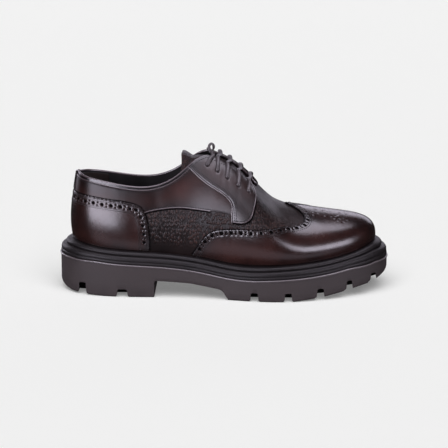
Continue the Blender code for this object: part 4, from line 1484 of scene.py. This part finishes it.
def folded_edges():
    """The thin rolled edges of the facings and of the quarters, in paler calf that paints a highlight along
    them.
    """
    parts = []
    for sign in (1, -1):
        rear, front = facing_lines(sign)
        parts.append(bead(rear, -1.15 * MM, OVERLAY_HIGH - 0.25 * MM, BEAD))
        parts.append(bead(front, 0.35 * MM, OVERLAY_HIGH - 0.15 * MM, BEAD))
    for line in quarter_lines(0, 6, 0.262):
        parts.append(bead(line, 0.3 * MM, QUARTER_HIGH - 0.1 * MM, BEAD))
    parts.append(bead(edge_line(0.47, -0.47, 420), BAND_DEPTH, QUARTER_HIGH - 0.1 * MM, BEAD * 0.85))
    shaped_piece("folded_edges", joined(parts), EDGE_CALF_PAINTED_HIGHLIGHT, "overlay_leather", sharp=80)


def painted_seam_shade():
    """Dark strips in the angle outside each overlay's edge: painted shade along the seams."""
    parts = [ribbon(COUNTER_LINE[::-1], -0.9 * MM, 0.5 * MM, BEDDED, QUARTER_HIGH + 0.08 * MM)]
    for line in WING_LINES:
        parts.append(ribbon(line, -0.4 * MM, 0.7 * MM, BEDDED, 0.1 * MM))
    for sign in (1, -1):
        rear, front = facing_lines(sign)
        parts.append(ribbon(rear, -0.2 * MM, 0.85 * MM, BEDDED, QUARTER_HIGH + 0.1 * MM))
        parts.append(ribbon(front, -0.2 * MM, 1.7 * MM, BEDDED, 0.12 * MM))
    for line in quarter_lines(0, 6, 0.262):
        parts.append(ribbon(line, -0.2 * MM, 1.6 * MM, BEDDED, 0.1 * MM))
    shaped_piece("painted_seam_shade", joined(parts), DYED_EDGE_AND_SHADE, "overlay_leather", sharp=60)


# The grip inside the heel: how far round it reaches, its foot up the section, and its gap under the collar
GRIP_REACH = 0.150
GRIP_FOOT = 0.30
GRIP_UNDER_COLLAR = 0.022
GRIP_FACES = (0.05 * MM, 0.7 * MM)


def heel_grip():
    """The suede grip inside the heel."""
    stations = np.linspace(-GRIP_REACH, GRIP_REACH, 70)
    rows = 24
    us, share = np.meshgrid(stations, np.linspace(0, 1, rows), indexing="ij")
    ts = GRIP_FOOT + (edge(us) - GRIP_UNDER_COLLAR - GRIP_FOOT) * share
    sheets = [place(us, ts, -WALL - depth).reshape(-1, 3) for depth in GRIP_FACES]
    shape = shell(sheets, grid_faces(len(stations), rows))
    shaped_piece("heel_grip", shape, HEEL_LINING, "lining", "upper")


# The tongue: the stations it runs between, on the ridge and at its side edges, and how far down it
# reaches
TONGUE_BACK = 0.425
TONGUE_BACK_SIDE = 0.365
TONGUE_FRONT = 0.735
TONGUE_SIDE = 0.62
TONGUE_THICK = 3.0 * MM
TONGUE_CLEAR = 0.7 * MM
TONGUE_CROWN = 0.6 * MM
# Its edge is rounded: the shares of its thickness where its skin's rows lie, and how far its faces end
# inside the others
TONGUE_LEVELS = (0.0, 0.06, 0.94, 1.0)
TONGUE_ROUND = 0.8 * MM
# The tongue sinks between the facings: how far, the stations between which it goes down and comes up
# again, and how high up the section it begins to sink
TONGUE_SAG = 7.5 * MM
SAG_BACK = (0.425, 0.475)
SAG_FRONT = (0.55, 0.66)
SAG_SIDE = 0.80


def tongue_sheet(u, t, lift):
    """Points of the tongue over both sides, side edge to side edge."""
    us, ts = np.meshgrid(u, t, indexing="ij")
    down = (1 - ts) / (1 - TONGUE_SIDE)
    along = (us - TONGUE_BACK) / (TONGUE_FRONT - TONGUE_BACK)
    us = us + (TONGUE_BACK_SIDE - TONGUE_BACK) * down * (1 - along)
    outer_normal, inner_normal = surface_normal(us, ts), surface_normal(-us, ts)
    middle = (top_line(u) + top_line(-u)) / 2
    middle_normal = outer_normal[:, -1] + inner_normal[:, -1]
    middle_normal /= np.linalg.norm(middle_normal, axis=-1, keepdims=True)
    middle = middle + middle_normal * smoothstep(0.66, 0.60, u)[:, None] * TONGUE_CROWN
    sheet = np.concatenate([surface(us, ts), middle[:, None], surface(-us, ts)[:, ::-1]], 1)
    normal = np.concatenate([outer_normal, middle_normal[:, None], inner_normal[:, ::-1]], 1)
    sink = smoothstep(SAG_SIDE, 1.0, np.append(t, [1.0, *t[::-1]]))
    deep = TONGUE_SAG * smoothstep(*SAG_BACK, u) * (1 - smoothstep(*SAG_FRONT, u))
    sheet = sheet - [0, 0, 1] * (deep[:, None] * sink)[..., None]
    return sheet + normal * lift + SHIFT


def tongue_piece():
    """The tongue, an arched sheet with a rounded edge."""
    u = np.linspace(TONGUE_BACK, TONGUE_FRONT, 90)
    t = np.linspace(TONGUE_SIDE, 0.985, 34)
    top = -(WALL + TONGUE_CLEAR)
    sheets = [tongue_sheet(u, t, top - TONGUE_THICK * share) for share in TONGUE_LEVELS]
    wide = sheets[0].shape[1]
    for k in (0, 3):
        back = sheets[k][0] - sheets[k][1]
        back /= np.linalg.norm(back, axis=1, keepdims=True)
        sheets[k][0] -= back * TONGUE_ROUND
    count = len(u) * wide
    faces = grid_faces(len(u), wide)
    solid = faces + [tuple(i + 3 * count for i in f[::-1]) for f in faces]
    border = list(range(wide)) + [i * wide + wide - 1 for i in range(1, len(u))]
    border += [(len(u) - 1) * wide + j for j in range(wide - 2, -1, -1)]
    border += [i * wide for i in range(len(u) - 2, 0, -1)]
    kinds = [0] * len(faces) + [1] * len(faces)
    for level in range(3):
        base, above = level * count, (level + 1) * count
        for a, b in zip(border, border[1:] + border[:1]):
            solid.append((base + a, base + b, above + b, above + a))
            kinds.append(0)
    flat = np.vstack([sheet.reshape(-1, 3) for sheet in sheets])
    made = mesh_object(
        "tongue_leather", flat, solid, [GRAINED_TONGUE, LINING], kinds, sharp=60, tone=np.ones(len(flat))
    )
    finish_piece(made, "leather", "tongue")


# The laces: where each bar crosses the throat, as a share of the last's length
LACE_ALONG = (0.443, 0.479, 0.510, 0.544, 0.577)
LACE_THICK = 3.0 * MM
# The cord lies flattened: its width and its thickness as shares of the round cord's
LACE_BROAD = 1.28
LACE_FLAT = 0.50
LACE_LIES = OVERLAY_HIGH + LACE_THICK * LACE_BROAD * LACE_FLAT / 2
# Over the throat: how far a bar's middle leads towards the toe, how high it stands over its two ends,
# and how far it bows off the facing
LACE_LEAD = 2.4 * MM
LACE_CROWN = -1.5 * MM
LACE_BOW = 0.35 * MM
# In the eyelet: how deep the cord goes, and the height of its mouth
LACE_SUNK = 1.5 * MM
LACE_MOUTH = OVERLAY_HIGH + 0.2 * MM
# At the throat's edge: how far below it the cord turns, and how much closer it lies there
BROW_BELOW = 0.01
BROW_CLOSER = 0.3 * MM


def lace_points(number):
    """One bar's middle line: out of its eyelet, over the throat and into the other one."""
    station, below = EYELETS[number]
    x = LAST_LENGTH * (LACE_ALONG[number] - 0.5)
    brow_height = float(edge(station)) - BROW_BELOW
    us = np.linspace(0.40, 0.80, 201)
    ends = []
    for side in (1, -1):
        u = side * station
        height = float(edge(u)) - below
        lead = BIGHT_LEAD if number == 0 and side > 0 else 0.0
        near = float(np.interp(x + lead, surface(us, np.full_like(us, brow_height))[:, 0], us))
        end = [place(u, height, -LACE_SUNK), place(u, height, LACE_MOUTH)]
        for share in (0.30, 0.65):
            at = u + share * (side * near - u)
            end.append(place(at, height + share * (brow_height - height), LACE_LIES + LACE_BOW))
        end.append(place(side * near, brow_height, LACE_LIES - BROW_CLOSER))
        ends.append(end)
    middle = (ends[0][-1] + ends[1][-1]) / 2 + [LACE_LEAD / 2, 0, LACE_CROWN]
    return ends[0], middle, ends[1]


# The raised bight of the top lace: how far its near side leads towards the toe, each point of it before,
# beside and over the throat's near edge, in millimetres, and how thin it is drawn
BIGHT_LEAD = 6 * MM
BIGHT = (
    (-1.4, 0.5, 3.1),
    (-3.8, 0.5, 6.4),
    (-3.2, 1.0, 9.2),
    (-1.6, 1.5, 10.2),
    (0.0, 2.0, 8.9),
    (0.3, 3.0, 5.9),
    (-0.8, 5.0, 3.0),
)
BIGHT_THICK = 0.68


def smooth_path(points, step=0.6 * MM):
    """A smooth line through points, with points a step apart."""
    points = np.array(points)
    gone = np.concatenate([[0], np.cumsum(np.linalg.norm(np.diff(points, axis=0), axis=1))])
    where = np.linspace(0, gone[-1], max(8, int(gone[-1] / step)))
    return np.stack([open_spline(gone, points[:, k])(where) for k in range(3)], -1)


def lace_piece(number):
    """One bar of the lace, from eyelet to eyelet."""
    near, middle, far = lace_points(number)
    route = near + [middle] + far[::-1]
    if number == 0:
        bight = [near[-1] + np.array(point) * MM for point in BIGHT]
        route = near + bight + [middle] + far[::-1]
    path = smooth_path(route)
    thick = np.ones(len(path))
    if number == 0:
        over = np.clip((path[:, 2] - near[-1][2] - 1 * MM) / (3 * MM), 0, 1)
        thick = 1 - (1 - BIGHT_THICK) * over
    middle_y = centre_line(path[:, 0])
    away = np.stack([np.zeros(len(path)), path[:, 1] - middle_y, np.full(len(path), 12 * MM)], -1)
    shape = tube(path, LACE_THICK / 2 * LACE_BROAD * thick, away, 14, squash=LACE_FLAT)
    shaped_piece(f"lace_{number + 1}", shape, CORD, "lace_cord", f"lace_bar_{number + 1}", sharp=70)


# The sole: the stations round it
SOLE_U = np.linspace(-1, 1, 300, endpoint=False)


def sole_line(offset_out):
    """A line round the sole at the feather line's height, a distance outside it."""
    ring = feather(SOLE_U) + outward(SOLE_U) * np.broadcast_to(offset_out, SOLE_U.shape)[:, None]
    ring[:, 2] = seat(ring[:, 0])
    return ring + SHIFT


def at_depth(offset_out, depth):
    """The same line, lowered by a share of the rim's height."""
    ring = sole_line(offset_out)
    ring[:, 2] -= depth * rim(ring[:, 0])
    return ring


def dense_profile(rows, pieces=3):
    """A profile rounded at its corners."""
    rows = np.array(rows)
    out = [rows[0]]
    for a, b, c in zip(rows, rows[1:], rows[2:]):
        for share in np.linspace(0, 1, pieces + 1):
            first = a + (b - a) * (0.62 + 0.38 * share)
            second = b + (c - b) * (0.38 * share)
            out.append(first + (second - first) * share)
    out.append(rows[-1])
    return np.array(out)


def hoop(rings, closed=True):
    """The vertices and faces of a band through rings, closed on itself or capped."""
    count = len(rings[0])
    faces = []
    total = len(rings) if closed else len(rings) - 1
    for k in range(total):
        low, high = k * count, (k + 1) % len(rings) * count
        faces += [(low + i, low + (i + 1) % count, high + (i + 1) % count, high + i) for i in range(count)]
    if not closed:
        faces += cap_faces(0, count) + cap_faces((len(rings) - 1) * count, count)
    return np.vstack(rings), faces


def cap_faces(base, count):
    """A level cap over a ring whose first point is the toe's tip, in strips from side to side."""
    faces = []
    for i in range(count // 2):
        a, b = i, i + 1
        c, d = (count - i - 1) % count, (count - i) % count
        ring = []
        for k in (a, b, c, d):
            if base + k not in ring:
                ring.append(base + k)
        if len(ring) > 2:
            faces.append(tuple(ring))
    return faces


SOLE_BEAD = 0.75 * MM
BEAD_DEPTH = 0.955
BEAD_OUT = 0.1 * MM
BEAD_SIDES = 10


def welt_piece():
    """The welt, a rolled strip round the upper."""
    reach_out = reach(SOLE_U)
    face = dense_profile(WELT_FACE)
    rings = [at_depth(-WELT_WIDTH, face[0][DEPTH])]
    rings += [at_depth(reach_out * r, d) for r, d in face]
    rings.append(at_depth(-WELT_WIDTH, face[-1][DEPTH]))
    shaped_piece("welt_rubber", hoop(rings), WELT_RUBBER, "rim_rubber", "welt", sharp=55)


def midsole_piece():
    """The midsole, with the steps in its side."""
    reach_out = reach(SOLE_U)
    rings = [at_depth(-WELT_WIDTH, WELT_FACE[-1][DEPTH])]
    rings += [at_depth(reach_out * r, d) for r, d in dense_profile(MIDSOLE_FACE)]
    shape = hoop(rings, closed=False)
    shaped_piece("midsole_rubber", shape, RIM_RUBBER, "rim_rubber", "midsole", sharp=55)


def midsole_bead():
    """The thin round line at the midsole's lower edge, in pale rubber that paints its highlight."""
    line = at_depth(reach(SOLE_U) + BEAD_OUT, BEAD_DEPTH)
    along = np.roll(line, -1, axis=0) - np.roll(line, 1, axis=0)
    along /= np.linalg.norm(along, axis=1, keepdims=True)
    aside = np.cross(along, [0, 0, 1])
    over = np.cross(aside, along)
    turn = np.linspace(0, 2 * np.pi, BEAD_SIDES, endpoint=False)
    rings = [line + SOLE_BEAD * (math.cos(a) * aside + math.sin(a) * over) for a in turn]
    shaped_piece("midsole_bead", hoop(rings), BEAD_RUBBER_PAINTED_HIGHLIGHT, "rim_rubber", sharp=80)


def insole_piece():
    """The sock that lies on the insole."""
    low = sole_line(-(WALL + INSOLE_CLEAR)) + [0, 0, GAP]
    shape = hoop([low, low + [0, 0, INSOLE_THICK]], closed=False)
    shaped_piece("sock", shape, BOARD, "lining", "insole")


# The outsole's rounded upper edge: rows of its share of the reach, and how far below the rim they lie
SOLE_SHOULDER = (
    (0.960, 0.00 * MM),
    (0.985, 0.15 * MM),
    (0.997, 0.55 * MM),
)
SHOULDER_HIGH = 1.2 * MM


def outsole_piece():
    """The outsole's block, with a rounded edge above and below."""
    full = reach(SOLE_U)
    rings = []
    for share, drop in SOLE_SHOULDER:
        rings.append(at_depth(full * share, 1.0) - [0, 0, drop])
    for share in (0.0, 0.3, 0.6, 1.0):
        wall = sole_line(full)
        top = wall[:, 2] - rim(wall[:, 0]) - SHOULDER_HIGH
        wall[:, 2] = top + (tread(wall[:, 0]) + SOLE_EDGE - top) * share
        rings.append(wall)
    for turn in (30, 60, 90):
        angle = math.radians(turn)
        ring = sole_line(full - SOLE_EDGE * (1 - math.cos(angle)))
        ring[:, 2] = tread(ring[:, 0]) + SOLE_EDGE * (1 - math.sin(angle))
        rings.append(ring)
    return hoop(rings, closed=False)


def prism(profile, low_y, high_y):
    """The vertices and faces of a profile in X and Z, stretched across the shoe."""
    count = len(profile)
    vertices = [(x, low_y, z) for x, z in profile] + [(x, high_y, z) for x, z in profile]
    faces = [tuple(range(count)), tuple(range(2 * count - 1, count - 1, -1))]
    faces += [(i, count + i, count + (i + 1) % count, (i + 1) % count) for i in range(count)]
    return vertices, faces


def rounded(points, radius, pieces=3):
    """A closed profile in X and Z with its corners rounded."""
    points = np.array(points, float)
    out = []
    for i, corner in enumerate(points):
        before, after = points[i - 1], points[(i + 1) % len(points)]
        back, ahead = before - corner, after - corner
        cut = min(radius, 0.45 * np.linalg.norm(back), 0.45 * np.linalg.norm(ahead))
        a = corner + back / np.linalg.norm(back) * cut
        b = corner + ahead / np.linalg.norm(ahead) * cut
        for share in np.linspace(0, 1, pieces + 1):
            out.append((1 - share) ** 2 * a + 2 * share * (1 - share) * corner + share**2 * b)
    return [tuple(p) for p in out]


# The lugs' lower corners are chamfered beside a notch: how far along the sole and how far up. The
# notches are cut higher than the solids' by a share, and their corners and the arch's rounded.
NOTCH_CHAMFER = 1.5 * MM
NOTCH_CHAMFER_UP = 1.1 * MM
NOTCH_RISE = 1.2
NOTCH_CORNER = 1.7 * MM
ARCH_CORNER = 2.2 * MM
SOLE_BEVEL = 0.45 * MM


def tread_cuts():
    """What is cut from the outsole: the arch, and the notches, each a profile and its two ends."""
    arch = [(ARCH[0][0] * SOLE_HALF, -CUT_BELOW)]
    arch += [(share * SOLE_HALF, level * SOLE_FLOOR) for share, level in ARCH]
    arch += [(ARCH[-1][0] * SOLE_HALF + BREAST_SLOPE, -CUT_BELOW)]
    arch = (rounded(arch, ARCH_CORNER), -BALL_WIDTH, BALL_WIDTH)
    notches = []
    loop = sole_line(reach(SOLE_U))
    for middle, width, height in NOTCHES:
        x = middle * SOLE_HALF
        half = width * SOLE_HALF / 2
        floor = float(tread(x))
        roof = floor + height * SOLE_FLOOR * NOTCH_RISE
        slot = []
        for way in (-1, 1):
            foot = half + NOTCH_FLARE + NOTCH_CHAMFER
            side = [
                (x + way * foot, floor - NOTCH_BELOW),
                (x + way * foot, floor - 0.1 * MM),
                (x + way * (half + 0.3 * NOTCH_FLARE), floor + NOTCH_CHAMFER_UP),
                (x + way * half, floor + NOTCH_FOOT + 1 * MM),
                (x + way * half * 0.9, roof),
            ]
            slot += side if way < 0 else side[::-1]
        for sign in (-1, 1):
            side = loop[np.sign(loop[:, 1] - centre_line(x)) == sign]
            wall = float(side[np.argsort(np.abs(side[:, 0] - x))[:2], 1].mean())
            ends = sorted([wall - sign * NOTCH_REACH, wall + sign * NOTCH_BEYOND])
            notches.append((rounded(slot, NOTCH_CORNER, 4), *ends))
    return arch, notches


def make_outsole():
    """The outsole, with the arch and the notches cut from it and its corners eased."""
    made = mesh_object("outsole_rubber", *outsole_piece(), [OUTSOLE_RUBBER], sharp=50)
    arch, notches = tread_cuts()
    cutters = []
    # The notches' cut faces take the near-black rubber, painted shade inside them
    for cuts, material in (([arch], OUTSOLE_RUBBER), (notches, NOTCH_SHADE_RUBBER)):
        cutter = mesh_object("tread_cutter", *joined([prism(*cut) for cut in cuts]), [material])
        cutters.append(cutter)
        modifier = made.modifiers.new("tread", "BOOLEAN")
        modifier.operation = "DIFFERENCE"
        modifier.object = cutter
        modifier.material_mode = "TRANSFER"
    modifier = made.modifiers.new("edges", "BEVEL")
    modifier.width = SOLE_BEVEL
    modifier.segments = 2
    modifier.limit_method = "ANGLE"
    modifier.angle_limit = math.radians(48)
    bpy.context.view_layer.update()
    ready = made.evaluated_get(bpy.context.evaluated_depsgraph_get())
    mesh = bpy.data.meshes.new_from_object(ready)
    made.modifiers.clear()
    made.data = mesh
    mesh.shade_smooth()
    mesh.set_sharp_from_angle(angle=math.radians(40))
    for cutter in cutters:
        bpy.data.objects.remove(cutter, do_unlink=True)
    finish_piece(made, "sole_rubber", "outsole")


# The view: the photograph's angle from the outer side
ELEVATION = math.radians(14.0)
SIDEWAYS = math.radians(1.3)
VIEW_DISTANCE = 1.9
VIEW_LENS = 160.1
VIEW_TARGET = Vector((0.0, 0.0, 0.0608))


def make_camera():
    """A camera at the photograph's angle."""
    data = bpy.data.cameras.new("camera")
    data.lens = VIEW_LENS
    data.sensor_width = 36
    camera = bpy.data.objects.new("camera", data)
    level = math.cos(ELEVATION)
    back = Vector((math.sin(SIDEWAYS) * level, -math.cos(SIDEWAYS) * level, math.sin(ELEVATION)))
    camera.location = VIEW_TARGET + back * VIEW_DISTANCE
    camera.rotation_euler = (-back).to_track_quat("-Z", "Y").to_euler()
    bpy.context.scene.collection.objects.link(camera)
    bpy.context.scene.camera = camera


# The softboxes: place, what each is aimed at, width, height, and the radiance of its face
SOFTBOXES = (
    ("left_box", (-0.86, -1.07, 0.36), (-0.08, 0.0, 0.07), 1.00, 0.66, 13.0),
    ("right_box", (1.05, -0.95, 0.36), (0.08, 0.0, 0.05), 1.00, 0.52, 12.0),
    ("top_box", (0.05, -0.05, 1.45), (0.0, 0.0, 0.05), 1.60, 0.80, 7.0),
    ("front_box", (0.0, -1.05, 1.25), (0.0, 0.0, 0.08), 1.40, 0.50, 1.6),
    ("back_box", (0.0, 1.70, 0.62), (0.0, 0.0, 0.08), 2.60, 0.60, 2.0),
    ("rim_strip", (-1.00, 0.90, 0.40), (-0.10, 0.0, 0.08), 0.40, 0.80, 4.5),
)
SOFTBOX_TINT = (0.95, 0.90, 1.05)
# A pale card on the floor beside the leather: place, width, length and radiance
LOW_CARD = ((0.0, -0.145, 0.004), 0.50, 0.09, 0.9)
SKY_ANGLE = 70
SKY_TILT = 28
SKY_POWER = 2.80


def add_softbox(name, spot, aim, width, height, radiance, receivers):
    """A soft light that only lights its receivers."""
    data = bpy.data.lights.new(name, "AREA")
    data.shape = "RECTANGLE"
    data.size = width
    data.size_y = height
    data.color = SOFTBOX_TINT
    data.energy = radiance * math.pi * width * height
    light = bpy.data.objects.new(name, data)
    light.location = spot
    light.rotation_euler = (Vector(aim) - Vector(spot)).to_track_quat("-Z", "Y").to_euler()
    light.light_linking.receiver_collection = receivers
    light.visible_camera = False
    bpy.context.scene.collection.objects.link(light)


def make_lights():
    """Softboxes that light the shoe alone, and a soft light from above that lights it and the floor."""
    shoe = bpy.data.collections.new("shoe")
    uppers = bpy.data.collections.new("uppers")
    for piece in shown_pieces():
        shoe.objects.link(piece)
        if not piece.name.endswith("_rubber"):
            uppers.objects.link(piece)
    for row in SOFTBOXES:
        add_softbox(*row, shoe)
    spot, width, length, radiance = LOW_CARD
    add_softbox("low_card", spot, (spot[0], spot[1], 1.0), width, length, radiance, uppers)
    data = bpy.data.lights.new("sky", "SUN")
    data.energy = SKY_POWER
    data.angle = math.radians(SKY_ANGLE)
    sky = bpy.data.objects.new("sky", data)
    sky.rotation_euler = (math.radians(SKY_TILT), 0, 0)
    sky.visible_glossy = False
    bpy.context.scene.collection.objects.link(sky)


SWEEP_GLOW = 0.20


def make_stage():
    """A pale sweep: a floor that curves up behind the shoe."""
    wide, front, back, bend, tall = 9.0, -2.6, 9.0, 1.5, 4.5
    profile = [(front, 0.0)]
    for turn in np.linspace(0, math.pi / 2, 13):
        profile.append((back + bend * math.sin(turn), bend - bend * math.cos(turn)))
    profile.append((back + bend, tall))
    vertices = [(side, y, z) for y, z in profile for side in (-wide, wide)]
    faces = [(2 * i, 2 * i + 1, 2 * i + 3, 2 * i + 2) for i in range(len(profile) - 1)]
    material = bpy.data.materials.new("pale_sweep")
    material.use_nodes = True
    shader = material.node_tree.nodes["Principled BSDF"]
    shader.inputs["Base Color"].default_value = (0.8, 0.8, 0.8, 1)
    shader.inputs["Roughness"].default_value = 0.9
    shader.inputs["Specular IOR Level"].default_value = 0.0
    shader.inputs["Emission Color"].default_value = (1, 1, 1, 1)
    shader.inputs["Emission Strength"].default_value = SWEEP_GLOW
    made = mesh_object("sweep", vertices, faces, [material])
    made.visible_glossy = False
    made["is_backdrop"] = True


WORLD_GREY = 0.03


def make_world():
    """A dim grey room round the stage."""
    world = bpy.data.worlds.new("studio")
    world.use_nodes = True
    background = world.node_tree.nodes["Background"]
    background.inputs["Color"].default_value = (1, 1, 1, 1)
    background.inputs["Strength"].default_value = WORLD_GREY
    bpy.context.scene.world = world
    bpy.context.scene.view_settings.view_transform = "Standard"


make_camera()
make_world()
make_stage()
base_leather()
quarters()
collar_band()
collar_roll()
counter_piece()
strip_piece()
wing_piece()
facing_piece("facing_outer_leather", "facing_outer", 1)
facing_piece("facing_inner_leather", "facing_inner", -1)
all_stitches()
folded_edges()
painted_seam_shade()
heel_grip()
tongue_piece()
for lace_number in range(len(LACE_ALONG)):
    lace_piece(lace_number)
welt_piece()
midsole_piece()
midsole_bead()
insole_piece()
make_outsole()
make_lights()
